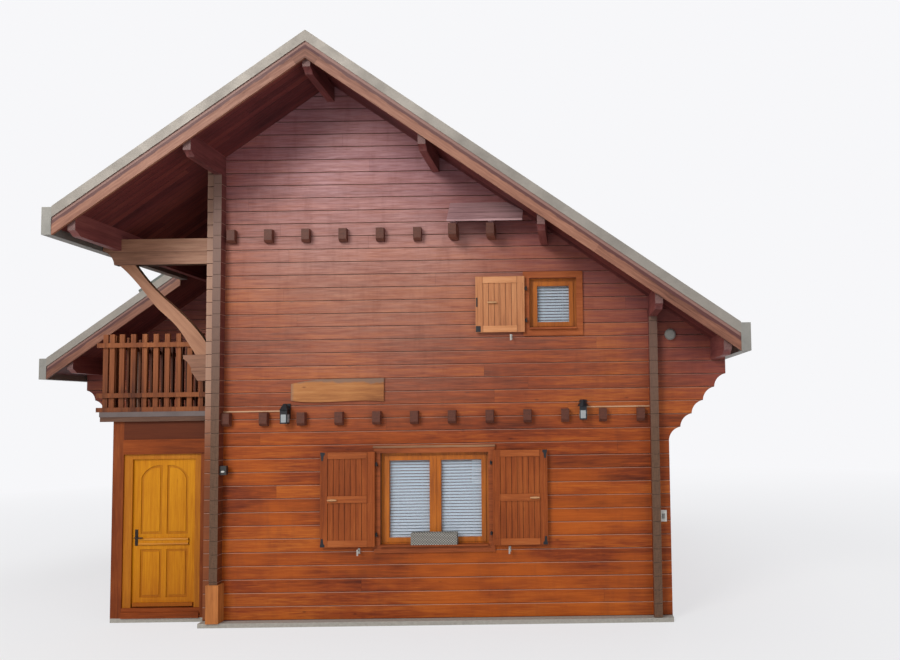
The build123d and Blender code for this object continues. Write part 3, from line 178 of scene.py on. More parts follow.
def down_roof(s, at):
    """Distance from the ridge, down the slope."""
    aside, drop = from_ridge(s, at)
    return s.add(s.multiply(aside, math.cos(PITCH)), s.multiply(drop, math.sin(PITCH)))


def above_roof(s, at):
    """Height over the lower face of the roof deck, square to the slope."""
    aside, drop = from_ridge(s, at)
    return s.subtract(s.multiply(aside, math.sin(PITCH)), s.multiply(drop, math.cos(PITCH)))


# Layers of the grain: scales along, across and through a board, then the noise's scale, detail,
# roughness and distortion, and its share in the whole
GRAIN = (
    ((0.45, 11.0, 11.0), 1.5, 4.0, 0.6, 0.4, 0.4),
    ((2.0, 120.0, 120.0), 1.0, 2.0, 0.6, 0.0, 0.2),
    ((3.4, 40.0, 40.0), 1.0, 4.0, 0.65, 0.4, 0.4),
)
BUTT_WIDTH = 0.006


def wood(name, run, up, dark, mid, light, board=None, start=0.0, length=0.0, fold=False,
         roughness=0.5, end=None, knots=0.5, variation=0.5, joint=0.006, seed=0.0, gloss=0.3,
         contrast=0.6, turn=0.0, finish=None, patchy=0.35, end_sheen=None, edge_highlight=None):
    """Sawn wood: grain along one axis, boards side by side along another, in the part's own axes.

    run and up are those axes. fold lays axis X down both slopes from the ridge, with Z square to
    them. turn swings axes X and Z. end is the tone of cut ends, end_sheen theirs up the gable with
    a painted sheen, and edge_highlight that of a painted highlight on the upper edge of each board.
    finish takes the shader, the place and the colour, and gives a colour, with weathering and
    painted light and shade.
    """
    s = Shader(name)
    dark, mid, light = (rgb(*tone) for tone in (dark, mid, light))
    end, end_sheen, edge_highlight = (tone and rgb(*tone) for tone in (end, end_sheen, edge_highlight))
    world = s.split(s.coordinate())
    place = [world[X], world[Y], world[Z]]
    if fold:
        place[X], place[Z] = down_roof(s, world), above_roof(s, world)
    if turn:
        cosine, sine = math.cos(turn), math.sin(turn)
        x, z = place[X], place[Z]
        place[X] = s.add(s.multiply(x, cosine), s.multiply(z, sine))
        place[Z] = s.subtract(s.multiply(z, cosine), s.multiply(x, sine))
    along, across, deep = place[run], place[up], place[X + Y + Z - run - up]

    # Which board, and which length of it
    index = piece = 0.0
    if board:
        row = s.math("DIVIDE", s.subtract(across, start), board)
        index = s.math("FLOOR", row)
        within = s.math("FRACT", row)
    if length:
        offset = s.multiply(s.white(s.combine(index, seed, 3.3)), length * 7)
        cut_at = s.math("DIVIDE", s.add(along, offset), length)
        piece = s.math("FLOOR", cut_at)
    tone = s.white(s.combine(index, piece, seed))

    # Grain, patches and knots
    shift = s.multiply(tone, 37.0)
    grain_place = s.combine(s.add(along, shift), s.add(across, shift), deep)
    streaks = 0.0
    for scales, scale, detail, rough, distortion, share in GRAIN:
        layer = s.noise(s.scaled(grain_place, scales), scale, detail, rough, distortion)
        streaks = s.add(streaks, s.multiply(layer, share))
    grain = s.multiply(s.subtract(streaks, 0.5), contrast)
    patch = s.subtract(s.noise(s.combine(along, across, deep), 0.7, 2.0), 0.5)
    grain = s.add(grain, s.multiply(patch, patchy))
    toned = s.multiply(s.subtract(tone, 0.5), 0.2 * variation)
    grain = s.add(s.add(grain, toned), 0.5)
    base = s.ramp(grain, [(0.34, dark), (0.5, mid), (0.66, light)])
    if knots:
        sockets = {"Vector": s.scaled(grain_place, (2.1, 5.5, 5.5)), "Scale": 1.0}
        cells = s.node("ShaderNodeTexVoronoi", sockets, feature="F1").outputs["Distance"]
        base = s.mix(s.between(cells, 0.02, 0.09, knots, 0.0), base, dark)
    if finish:
        base = finish(s, world, base)

    # Dark joints between the boards, and a painted highlight on the top edge of each, given
    # edge_highlight
    height = streaks
    if board:
        half = joint / board
        if edge_highlight:
            edge = s.between(within, 1.0 - 1.1 * half, 1.0 - 0.5 * half, 0.0, 0.6)
            base = s.mix(edge, base, edge_highlight)
            line = s.between(within, 0.5 * half, 1.2 * half, 1.0, 0.0)
        else:
            low_side = s.between(within, 0.0, half, 1.0, 0.0)
            line = s.math("MAXIMUM", low_side, s.between(within, 1.0 - half, 1.0))
        if length:
            butt = s.between(s.math("FRACT", cut_at), 0.0, BUTT_WIDTH / length, 0.6, 0.0)
            line = s.math("MAXIMUM", line, butt)
        base = s.mix(s.multiply(line, 0.85), base, shade(dark, 0.3))
        height = s.subtract(streaks, s.multiply(line, 2.0))

    # Rings and checks on the cut ends
    if end:
        sockets = {"Vector": s.combine(s.add(across, shift), deep), "Scale": 18.0,
                   "Distortion": 4.0, "Detail": 2.0}
        rings = s.node("ShaderNodeTexWave", sockets, wave_type="RINGS", rings_direction="Z")
        checks_place = s.combine(s.multiply(across, 9.0), s.multiply(deep, 40.0))
        checks = s.noise(checks_place, 1.0, 3.0, 0.6)
        mottle = s.add(s.multiply(rings.outputs[0], 0.35), s.multiply(checks, 0.65))
        end_colour = s.mix(s.between(mottle, 0.3, 0.75), end, shade(end, 0.45))
        # Painted sheen: cut ends paler up the gable
        if end_sheen:
            end_colour = s.mix(s.between(world[Z], 2.4, 5.0, 0.0, 0.6), end_colour, end_sheen)
        if board:
            end_colour = s.mix(s.multiply(line, 0.8), end_colour, shade(end, 0.2))
        facing = s.absolute(s.split(s.coordinate("Normal"))[run])
        base = s.mix(s.between(facing, 0.6, 0.8), base, end_colour)
    s.colour(base)
    s.set("Roughness", s.between(grain, 0.3, 0.7, roughness + 0.1, roughness - 0.08))
    s.set("Specular IOR Level", gloss)
    s.bump(height, 0.35, 0.004)
    return s.material


def metal(name, colour, roughness, metallic):
    """Sheet metal or ironwork with faint mottling."""
    s = Shader(name)
    place = s.coordinate()
    patch = s.noise(place, 2.2, 4.0, 0.65)
    speck = s.noise(place, 60.0, 2.0)
    both = s.add(s.multiply(patch, 0.88), s.multiply(speck, 0.12))
    s.colour(s.ramp(both, [(0.3, shade(colour, 0.82)), (0.5, colour), (0.7, shade(colour, 1.12))]))
    s.set("Metallic", metallic)
    s.set("Roughness", s.between(both, 0.3, 0.7, roughness + 0.08, roughness - 0.06))
    s.bump(speck, 0.1, 0.001)
    return s.material


def plain(name, colour, roughness=0.5, bump_scale=80.0, amount=0.08, spread=0.12):
    """Moulded or cast stuff with a fine mottled surface."""
    s = Shader(name)
    speck = s.noise(s.coordinate(), bump_scale, 4.0, 0.6)
    s.colour(s.ramp(speck, [(0.3, shade(colour, 1 - spread)), (0.7, shade(colour, 1 + spread))]))
    s.set("Roughness", s.between(speck, 0.3, 0.7, roughness + 0.06, roughness - 0.06))
    s.bump(speck, amount, 0.002)
    return s.material


# Finishes: weather on each wood, and painted light and shade. Each pair of heights or distances
# tells between which two a tone changes, in metres.
SHEEN_HEIGHTS = (2.5, 5.0)
SHEEN_X = -0.9
SHEEN_THINS = (0.7, 2.2)
PINK_SHEEN_HEIGHTS = (4.6, 6.4)
ROOF_SHADE_DEPTHS = (-1.0, -0.15)
ORANGE_HEIGHTS = (1.4, 3.4)
STUB_HEIGHTS = (2.3, 3.3)
FLANK_SHADE_HEIGHTS = (1.5, 4.0)


def gable_weather_and_light(s, at, base):
    """The walls, from the ground up to the ridge: weathering, painted sheen and painted shade."""
    whole = s.combine(at[X], at[Y], at[Z])
    patch = s.noise(s.combine(at[X], at[Y], s.multiply(at[Z], 2.5)), 0.55, 3.0, 0.6)

    # Painted sheen high up, thinner away from SHEEN_X, pinker near the ridge, streaked along the
    # planks
    high = s.between(at[Z], *SHEEN_HEIGHTS, 0.0, 0.8)
    aside = s.absolute(s.subtract(at[X], SHEEN_X))
    high = s.multiply(high, s.between(aside, *SHEEN_THINS, 1.0, 0.45))
    sheen = s.mix(s.between(at[Z], *PINK_SHEEN_HEIGHTS), rgb(184, 138, 120), rgb(194, 154, 160))
    streak = s.noise(s.scaled(whole, (3.0, 3.0, 44.0)), 1.0, 4.0, 0.65, 0.3)
    sheen = s.mix(s.between(streak, 0.35, 0.65, 0.6, 0.0), sheen, rgb(118, 70, 64))
    base = s.mix(s.multiply(high, s.between(patch, 0.3, 0.6, 0.75, 1.0)), base, sheen)

    # Painted shade under the roof
    roof_shade = s.between(above_roof(s, at), *ROOF_SHADE_DEPTHS, 0.0, 0.42)
    base = s.mix(roof_shade, base, rgb(112, 58, 74))

    # Orange patches low down
    low = s.between(at[Z], *ORANGE_HEIGHTS, 0.6, 0.0)
    base = s.mix(s.multiply(low, s.between(patch, 0.44, 0.62)), base, rgb(186, 92, 22))

    # Faint runs down the wall
    run = s.noise(s.scaled(whole, (7.0, 7.0, 1.3)), 1.0, 4.0, 0.65)
    base = s.mix(s.between(run, 0.5, 0.75, 0.0, 0.24), base, rgb(92, 42, 28))

    # Stubs of the front wall past the left corner, paler upwards
    past_corner = s.between(at[X], LEFT_FACE - 0.002, LEFT_FACE, 0.8, 0.0)
    stub = s.multiply(past_corner, s.between(at[Y], FRONT + 0.1, FRONT + 0.2, 1.0, 0.0))
    pale = s.mix(s.between(at[Z], *STUB_HEIGHTS), rgb(122, 70, 42), rgb(172, 140, 120))
    return s.mix(stub, base, pale)


def side_weather_and_light(s, at, base):
    """Painted shade on the flanks of the plank ends that stand out past the gables."""
    base = gable_weather_and_light(s, at, base)
    # Painted shade on the flanks that stand proud
    proud = s.between(at[Y], FRONT - 0.005, FRONT, 0.85, 0.0)
    flank = s.mix(s.between(at[Z], *FLANK_SHADE_HEIGHTS), rgb(92, 46, 26), rgb(96, 48, 46))
    return s.mix(proud, base, flank)


BAND_EDGE = (0.016, 0.024)
UPPER_BOARD = (0.059, 0.062)


def barge_stain_and_shade(s, at, base):
    """Dark wavy band, stain and painted shadow, under the set back upper board, which has
    weathered.
    """
    above = above_roof(s, at)
    swing = s.noise(s.combine(*from_ridge(s, at)), 4.0, 3.0, 0.6)
    wave = s.multiply(s.subtract(swing, 0.5), 0.05)
    # Stain and painted shadow in a wavy band
    band = s.between(s.add(above, wave), *BAND_EDGE, 0.0, 0.85)
    base = s.mix(band, base, rgb(76, 42, 44))
    return s.mix(s.between(above, *UPPER_BOARD, 0.0, 0.85), base, rgb(146, 110, 100))


# Boards of the plain face of a shutter leaf
SEAM_PITCH = 0.0985


def leaf_finish(s, at, base):
    """Dark grooves by the stiles and in the sunk fields, and seams on the plain face."""
    near = 1.0
    for left, right in (LEFT_FIELD, RIGHT_FIELD, UPPER_FIELD):
        for edge in (left + STILE, right - STILE):
            near = s.math("MINIMUM", near, s.absolute(s.subtract(at[X], edge)))
    base = s.mix(s.between(near, 0.001, 0.0035, 0.7, 0.0), base, rgb(60, 26, 14))

    field_y = LEAF_FACE + FIELD_DEPTH
    within = s.between(at[Y], field_y - 0.0015, field_y - 0.0002, 0.0, 0.75)
    beyond = s.between(at[Y], field_y + 0.002, field_y + 0.003, 1.0, 0.0)
    base = s.mix(s.multiply(within, beyond), base, rgb(44, 18, 10))

    row = s.math("FRACT", s.math("DIVIDE", at[X], SEAM_PITCH))
    seam = s.between(s.absolute(s.subtract(row, 0.5)), 0.465, 0.485, 0.0, 0.8)
    plain_y = LEAF_FACE + LEAF_THICK
    on_plain_face = s.between(at[Y], plain_y - 0.0025, plain_y - 0.0015)
    return s.mix(s.multiply(seam, on_plain_face), base, rgb(52, 22, 12))


LINTEL_TOP = 2.571


def lintel_shade(s, at, base):
    """Painted shade on the planks above the lintel board."""
    above = s.between(at[Z], LINTEL_TOP - 0.003, LINTEL_TOP + 0.003, 0.0, 0.8)
    return s.mix(above, base, rgb(72, 30, 14))


def door_stain_and_shade(s, at, base):
    """Darker stain low down and on the weather bar, and painted shade in the sunk borders of the
    panels.
    """
    base = s.mix(s.between(at[Z], 0.2, 0.75, 0.35, 0.0), base, rgb(150, 76, 14))
    bar = s.between(at[Z], DOOR_BAR - 0.002, DOOR_BAR + 0.002, 0.6, 0.0)
    base = s.mix(bar, base, rgb(124, 52, 10))
    # Painted shade in the sunk borders of the panels
    sunk = s.between(at[Y], DOOR_FACE + 0.004, DOOR_FACE + 0.011, 0.0, 0.34)
    outside = s.between(at[Y], DOOR_FACE + 0.020, DOOR_FACE + 0.025, 1.0, 0.0)
    return s.mix(s.multiply(sunk, outside), base, rgb(128, 62, 8))


def rail_shade(s, at, base):
    """Painted shade on the wood further back on the balcony."""
    back = s.between(at[Y], FRONT + 0.2, FRONT + 1.6, 0.0, 0.6)
    return s.mix(back, base, rgb(54, 26, 18))


BARK_TOP = (3.385, 3.415)
BARK_LEFT = (-2.04, -1.99)


def live_edge(s, at, base):
    """Grey bark side along the top and left edges of the name board."""
    swing = s.noise(s.combine(at[X], at[Z]), 4.0, 3.0, 0.6)
    top = s.between(s.add(at[Z], s.multiply(swing, 0.12)), *BARK_TOP, 0.0, 0.8)
    left = s.between(at[X], *BARK_LEFT, 0.7, 0.0)
    return s.mix(s.math("MAXIMUM", top, left), base, rgb(118, 96, 84))


# Stained larch: painted sheen up the gable, more orange low down, painted shade on flanks that
# stand proud
END = (108, 80, 62)
planks = {"dark": (78, 28, 10), "mid": (134, 57, 19), "light": (176, 94, 32),
          "end": END, "end_sheen": (134, 106, 98), "edge_highlight": (206, 166, 148),
          "board": COURSE, "start": SLAB, "joint": 0.008, "length": 8.6, "variation": 0.55,
          "patchy": 0.25, "knots": 0.85, "contrast": 0.95, "roughness": 0.46, "gloss": 0.2}
wall_x = wood("planks_along_x", X, Z, seed=1.0, finish=gable_weather_and_light, **planks)
wall_y = wood("planks_along_y", Y, Z, seed=5.0, finish=side_weather_and_light, **planks)

# The other woods: dark, mid and light tones as on a screen
beam_x = wood("beams_along_x", X, Z, (96, 62, 46), (142, 100, 78), (168, 128, 102),
              end=END, board=COURSE, start=SLAB, joint=0.004, seed=7.0)
joist_wood = wood("joist_wood", Y, X, (52, 24, 20), (98, 54, 42), (126, 76, 58),
                  end=(96, 50, 34), seed=9.0)
purlin_wood = wood("purlin_wood", Y, X, (66, 30, 30), (120, 64, 62), (146, 90, 80),
                   end=(120, 86, 82), seed=8.0)
brace_wood = wood("brace_wood", X, Z, (100, 64, 46), (146, 100, 74), (172, 124, 94),
                  end=END, turn=math.radians(-45), knots=0.7, seed=6.0)
# Soffit tones darkened: painted shade under the eaves
soffit_shaded_wood = wood("soffit_shaded_wood", X, Y, (48, 20, 24), (94, 42, 42), (120, 60, 52),
                   board=0.12, length=3.6, variation=0.8, joint=0.008, fold=True, seed=12.0)
barge_wood = wood("barge_wood", X, Z, (80, 46, 34), (128, 83, 65), (158, 110, 88),
                  fold=True, length=4.4, contrast=1.0, seed=14.0, finish=barge_stain_and_shade)
trim_x = wood("trim_along_x", X, Z, (84, 36, 16), (144, 72, 34), (176, 98, 52),
              knots=0.3, gloss=0.2, seed=15.0)
trim_z = wood("trim_along_z", Z, X, (56, 22, 8), (112, 50, 18), (146, 76, 32),
              knots=0.3, gloss=0.15, seed=16.0)
frame_wood = wood("frame_wood", Z, X, (126, 64, 8), (166, 98, 12), (190, 122, 26),
                  knots=0.2, gloss=0.2, seed=33.0)
# Pale pinkish tones: painted reflection of the sky on the canopy
canopy_sheen_wood = wood("canopy_sheen_wood", X, Y, (128, 92, 94), (184, 146, 148), (204, 170, 168),
                   board=0.11, knots=0.3, seed=31.0)
cover_wood = wood("cover_wood", Z, X, (132, 74, 32), (182, 112, 56), (206, 140, 78),
                  knots=0.4, seed=32.0)
orange_x = wood("orange_along_x", X, Z, (74, 28, 8), (128, 58, 18), (156, 80, 32),
                knots=0.4, gloss=0.15, seed=17.0, finish=lintel_shade)
window_wood = wood("window_wood", Z, X, (122, 58, 10), (178, 98, 22), (202, 124, 36),
                   knots=0.1, roughness=0.35, seed=18.0)
door_wood = wood("door_wood", Z, X, (146, 78, 2), (180, 110, 6), (206, 138, 20),
                 knots=0.25, roughness=0.4, gloss=0.16, seed=19.0, finish=door_stain_and_shade)
moulding_wood = wood("moulding_wood", X, Z, (152, 84, 6), (188, 120, 14), (212, 148, 36),
                     knots=0.1, roughness=0.4, gloss=0.25, seed=34.0)
deck_wood = wood("deck_wood", X, Y, (60, 38, 28), (100, 66, 48), (128, 88, 64),
                 board=0.14, length=2.4, joint=0.008)
rail_wood = wood("rail_wood", Z, X, (70, 34, 18), (122, 66, 34), (152, 90, 50),
                 board=0.163, joint=0.0001, knots=0.3, variation=0.7, gloss=0.2, seed=21.0,
                 finish=rail_shade)
floor_wood = wood("floor_wood", Y, X, (110, 76, 46), (158, 116, 74), (186, 144, 98),
                  board=0.12, length=2.0, joint=0.004)
board_wood = wood("board_wood", X, Z, (112, 60, 26), (166, 106, 56), (192, 136, 82),
                  knots=0.8, seed=23.0, finish=live_edge)
shutter_wood = wood("shutter_wood", Z, X, (86, 34, 12), (138, 66, 24), (168, 92, 40),
                    knots=0.3, gloss=0.2, seed=25.0, finish=leaf_finish)
ledge_wood = wood("ledge_wood", X, Z, (98, 44, 18), (152, 78, 34), (182, 106, 56),
                  knots=0.3, gloss=0.2, seed=28.0)
upper_ledge_wood = wood("upper_ledge_wood", X, Z, (136, 80, 48), (194, 130, 84), (214, 156, 110),
                        knots=0.3, seed=29.0)
upper_leaf_wood = wood("upper_leaf_wood", Z, X, (120, 66, 38), (176, 112, 70), (198, 138, 92),
                       knots=0.3, seed=27.0, finish=leaf_finish)
drip_wood = wood("drip_wood", X, Z, (84, 52, 34), (140, 98, 68), (168, 126, 92),
                 knots=0.2, seed=35.0)
pale_wood = wood("pale_wood", X, Z, (150, 104, 70), (188, 142, 100), (208, 168, 128),
                 knots=0.0, seed=26.0)

roof_metal = metal("roof_metal", rgb(122, 118, 110), 0.5, 0.35)
verge_metal = metal("verge_metal", rgb(137, 131, 123), 0.55, 0.3)
gutter_metal = metal("gutter_metal", rgb(134, 132, 126), 0.5, 0.35)
pipe_metal = metal("pipe_metal", rgb(92, 96, 90), 0.5, 0.4)
drip_metal = metal("drip_metal", rgb(96, 84, 82), 0.5, 0.3)
iron = metal("iron", rgb(34, 34, 38), 0.45, 0.5)
zinc = metal("zinc", rgb(168, 164, 158), 0.4, 0.6)
brass = metal("brass_handle", rgb(44, 36, 32), 0.35, 0.7)
concrete = plain("concrete", rgb(158, 154, 146), 0.85, 30.0, 0.4)
white_plastic = plain("white_plastic", rgb(196, 194, 188), 0.4)
grey_plastic = plain("grey_plastic", rgb(128, 126, 122), 0.45)
tan_plastic = plain("tan_plastic", rgb(186, 144, 110), 0.5)
dark_plastic = plain("dark_plastic", rgb(30, 28, 28), 0.45)
lantern_glass = plain("lantern_glass", rgb(150, 154, 156), 0.25, 20.0, 0.05, 0.1)
soil = plain("soil", rgb(52, 38, 28), 0.95, 60.0, 0.8, 0.3)
blind_paint = plain("blind_paint", rgb(204, 214, 226), 0.5, 30.0, 0.02, 0.04)

STAKE_PITCH = 0.036
STRAND_PITCH = 0.017


def wicker_weave():
    """Woven trough: strands over and under upright stakes, with painted shade in the hollows."""
    s = Shader("wicker")
    place = s.coordinate()
    at = s.split(place)
    stake = s.multiply(s.add(at[X], at[Y]), 1 / STAKE_PITCH)
    strand = s.multiply(at[Z], 1 / STRAND_PITCH)
    odd = s.math("MODULO", s.math("FLOOR", strand), 2.0)
    phase = s.multiply(s.add(stake, s.multiply(odd, 0.5)), math.pi)
    wave = s.absolute(s.math("SINE", phase))
    rounding = s.math("SINE", s.multiply(s.math("FRACT", strand), math.pi))
    height = s.multiply(wave, rounding)
    # Painted shade and highlight from the height of the weave
    tone = s.add(s.multiply(height, 0.75), s.multiply(s.noise(place, 90.0, 3.0, 0.6), 0.25))
    stops = [(0.15, rgb(44, 42, 40)), (0.45, rgb(122, 119, 112)), (0.85, rgb(176, 172, 164))]
    s.colour(s.ramp(tone, stops))
    s.set("Roughness", 0.65)
    s.bump(height, 0.8, 0.004)
    return s.material


def glass():
    """Window glass that shows what is behind it."""
    s = Shader("clear_glass")
    s.colour((0.50, 0.58, 0.66, 1.0))
    s.set("Alpha", 0.14)
    s.set("Specular IOR Level", 0.45)
    smear = s.noise(s.coordinate(), 2.0, 1.0, 0.4)
    s.set("Roughness", s.between(smear, 0.3, 0.7, 0.02, 0.05))
    return s.material


def dress(material, *names):
    """Give CAD nodes a material."""
    for name in names:
        data = nodes[name].data
        data.materials.clear()
        data.materials.append(material)


dress(wall_x, "front_wall", "front_gable", "rear_wall", "rear_gable", "wing_front_wall",
      "eave_corbels")
dress(wall_y, "left_wall_front", "left_wall_rear", "left_wall_over", "right_wall",
      "wing_left_wall", "bay_left_wall")
dress(beam_x, "eave_beam", "brace_bracket")
dress(brace_wood, "eave_brace")
dress(joist_wood, "floor_joists")
dress(purlin_wood, "purlins")
dress(soffit_shaded_wood, "roof_deck_left", "roof_deck_wing", "roof_deck_right")
dress(barge_wood, "barge_boards")
dress(roof_metal, "roof_covering")
dress(verge_metal, "roof_flashings")
dress(gutter_metal, "eave_gutters")
dress(pipe_metal, "rain_pipe")
dress(drip_metal, "deck_drip_edge")
dress(trim_x, "window_casings")
dress(canopy_sheen_wood, "front_canopy")
dress(trim_z, "bay_posts")
dress(cover_wood, "corner_base_cover")
dress(orange_x, "bay_lintel", "door_sill")
dress(window_wood, "window_frames", "balcony_door")
dress(frame_wood, "door_frame")
dress(door_wood, "door_leaf")
dress(deck_wood, "balcony_deck")
dress(rail_wood, "balcony_railing_front", "balcony_railing_side")
dress(floor_wood, "upper_floors")
dress(board_wood, "name_board")
dress(shutter_wood, "shutter_left", "shutter_right")
dress(upper_leaf_wood, "shutter_upper")
dress(iron, "shutter_left_hinges", "shutter_right_hinges", "shutter_upper_hinges",
      "shutter_pins", "wall_lanterns", "door_leaf_hinges", "door_hinge_pins")
dress(brass, "door_handles")
dress(concrete, "foundation_slab")
dress(white_plastic, "switch_box")
dress(grey_plastic, "bulkhead_lamp")
dress(tan_plastic, "cable_conduit")
dress(dark_plastic, "porch_sensor")
dress(wicker_weave(), "planter_trough")
dress(glass(), "window_glass")


def mesh_object(name, bm, material, body="house"):
    """Finish a bmesh as a piece that rides on a body."""
    bmesh.ops.recalc_face_normals(bm, faces=bm.faces)
    data = bpy.data.meshes.new(name)
    bm.to_mesh(data)
    bm.free()
    data.materials.append(material)
    made = bpy.data.objects.new(name, data)
    bpy.context.scene.collection.objects.link(made)
    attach(made, body)
    return made


def add_bar(bm, low, high, turn=None):
    """Box between two corners, turned about its middle where a matrix is given."""
    middle = (Vector(low) + Vector(high)) / 2
    size = Vector(high) - Vector(low)
    place = Matrix.Translation(middle)
    if turn is not None:
        place = place @ turn
    bmesh.ops.create_cube(bm, size=1.0, matrix=place @ Matrix.Diagonal((*size, 1.0)))


def add_loft(bm, rings):
    """Skin over rings of points, closed at both ends."""
    rows = [[bm.verts.new(point) for point in ring] for ring in rings]
    bm.faces.new(rows[0])
    bm.faces.new(rows[-1])
    for first, second in zip(rows, rows[1:]):
        for k in range(len(first)):
            following = (k + 1) % len(first)
            bm.faces.new((first[k], first[following], second[following], second[k]))


def soften(piece, width):
    """Round the edges of a piece."""
    bevel = piece.modifiers.new("edge", "BEVEL")
    bevel.width = width
    bevel.segments = 2
    bevel.limit_method = "ANGLE"


def bar_piece(name, bars, material, body="house", edge=0.002):
    """Piece made of boxes, each given by two corners, with its edges rounded."""
    bm = bmesh.new()
    for low, high in bars:
        add_bar(bm, low, high)
    soften(mesh_object(name, bm, material, body), edge)


# Panes behind which a blind hangs: X range and Z range. The lower pair comes first.
LOWER_PANE_Z = (1.158, 2.232)
UPPER_PANE = (1.4305, 1.8795, 4.158, 4.672)
FRONT_PANES = [(-0.677, -0.110, *LOWER_PANE_Z), (0.050, 0.617, *LOWER_PANE_Z), UPPER_PANE]
REAR_PANES = [(-0.617, -0.050, *LOWER_PANE_Z), (0.110, 0.677, *LOWER_PANE_Z), UPPER_PANE]
SLAT_PITCH = 0.0425
SLAT_HALF = Vector((0, 0.018, 0.0007))
LOWEST_SLAT = 0.01
CORD_PARTS = (0.2, 0.8)
CORD_HALF = 0.0015
CORD_DEPTHS = (0.013, 0.0115)
BLIND_SETBACK = 0.121
FRONT_TILT = math.radians(52)
REAR_TILT = math.radians(-76)


def blinds(name, panes, blind_y, tilt):
    """Slats of a blind behind each pane, with ladder cords."""
    bm = bmesh.new()
    turn = Matrix.Rotation(tilt, 4, "X")
    for x_low, x_high, z_low, z_high in panes:
        count = int((z_high - z_low) / SLAT_PITCH) + 1
        for i in range(count):
            z = z_low + LOWEST_SLAT + i * SLAT_PITCH
            low, high = Vector((x_low, blind_y, z)), Vector((x_high, blind_y, z))
            add_bar(bm, low - SLAT_HALF, high + SLAT_HALF, turn)
        y_low, y_high = (blind_y - depth for depth in CORD_DEPTHS)
        for part in CORD_PARTS:
            x = x_low + part * (x_high - x_low)
            add_bar(bm, (x - CORD_HALF, y_low, z_low), (x + CORD_HALF, y_high, z_high))
    mesh_object(name, bm, blind_paint)


blinds("front_blinds", FRONT_PANES, FRONT + BLIND_SETBACK, FRONT_TILT)
blinds("rear_blinds", REAR_PANES, REAR - BLIND_SETBACK, REAR_TILT)

# Casements: how far the frames are set back, how wide and how proud the wood of a casement is, and
# the strip between the lower pair
FRAME_SETBACK = 0.060
SASH = 0.066
SASH_GAP = 0.0003
UPRIGHT_PROUD = 0.012
RAIL_PROUD = 0.0115
STRIP_HALF = 0.020
STRIP_PROUD = 0.020


def sashes(name, panes, face, out):
    """Casement round each pane, proud of its frame, and a strip over the joint of the lower pair.

    out is -1 where the open air is towards the front and 1 where it is towards the rear.
    """
    bars = []

    def rail(x_low, x_high, z_low, z_high, proud):
        near, far = sorted((face - HAIR * out, face + proud * out))
        bars.append(((x_low, near, z_low), (x_high, far, z_high)))

    for x_low, x_high, z_low, z_high in panes:
        for x in (x_low - SASH, x_high):
            rail(x, x + SASH, z_low - SASH, z_high + SASH, UPRIGHT_PROUD)
        for z in (z_low - SASH, z_high):
            rail(x_low + SASH_GAP, x_high - SASH_GAP, z, z + SASH, RAIL_PROUD)
    middle = (panes[0][1] + panes[1][0]) / 2
    z_low, z_high = LOWER_PANE_Z
    rail(middle - STRIP_HALF, middle + STRIP_HALF, z_low - SASH, z_high + SASH, STRIP_PROUD)
    bar_piece(name, bars, window_wood, edge=0.003)


sashes("front_sashes", FRONT_PANES, FRONT + FRAME_SETBACK, -1)
sashes("rear_sashes", REAR_PANES, REAR - FRAME_SETBACK, 1)

# In the sunk fields: heights of the boards between the ledges, how deep the boards lie, and the
# gaps by stiles, boards and ledges
LOWER_BOARDS = [(1.145, 1.665), (1.755, 2.275)]
UPPER_BOARDS = [(4.1, 4.71)]
BOARD_SUNK = 0.007
STILE_GAP = 0.001
BOARD_GAP = 0.003
LEDGE_GAP = 0.002


def leaf_boards(name, body, field, heights, count, material):
    """A stile at either side of a sunk field, and upright boards between them."""
    x_low, x_high = field
    back = LEAF_FACE + FIELD_DEPTH + HAIR
    pitch = (x_high - x_low - 2 * STILE) / count
    columns = [(left + STILE_GAP, left + STILE - STILE_GAP, HAIR)
               for left in (x_low, x_high - STILE)]
    for i in range(count):
        left = x_low + STILE + i * pitch
        columns.append((left + BOARD_GAP, left + pitch - BOARD_GAP, BOARD_SUNK))
    bars = []
    for z_low, z_high in heights:
        for left, right, sunk in columns:
            bars.append(((left, LEAF_FACE + sunk, z_low), (right, back, z_high)))
    bar_piece(name, bars, material, body, edge=0.0025)


def leaf_ledges(name, body, field, rows, material):
    """Boards across a leaf between its stiles: low edge, high edge, and how far it stands proud."""
    left, right = field[0] + STILE + LEDGE_GAP, field[1] - STILE - LEDGE_GAP
    bars = []
    for z_low, z_high, proud in rows:
        bars.append(((left, LEAF_FACE - proud, z_low), (right, LEAF_FACE + HAIR, z_high)))
    bar_piece(name, bars, material, body)


LOWER_LEDGES = [(1.060, 1.148, 0.0025), (1.662, 1.758, 0.012), (2.272, 2.360, 0.008)]
UPPER_LEDGES = [(4.015, 4.103, 0.004), (4.707, 4.795, 0.008)]
leaf_boards("left_leaf_boards", "left_shutter", LEFT_FIELD, LOWER_BOARDS, 7, shutter_wood)
leaf_boards("right_leaf_boards", "right_shutter", RIGHT_FIELD, LOWER_BOARDS, 7, shutter_wood)
leaf_boards("upper_leaf_boards", "upper_shutter", UPPER_FIELD, UPPER_BOARDS, 6, upper_leaf_wood)
leaf_ledges("left_leaf_ledges", "left_shutter", LEFT_FIELD, LOWER_LEDGES, ledge_wood)
leaf_ledges("right_leaf_ledges", "right_shutter", RIGHT_FIELD, LOWER_LEDGES, ledge_wood)
leaf_ledges("upper_leaf_ledges", "upper_shutter", UPPER_FIELD, UPPER_LEDGES, upper_ledge_wood)


# Ironwork on the leaves: corner irons, latches, and the stays that hold the leaves open
LOWER_LEAF_Z = (1.055, 2.365)
IRON_THICK = 0.0025
IRON_OUTLINE = ((0.003, 0.003), (0.066, 0.003), (0.066, 0.034), (0.05, 0.05), (0.042, 0.118),
                (0.016, 0.118), (0.010, 0.05), (0.003, 0.034))


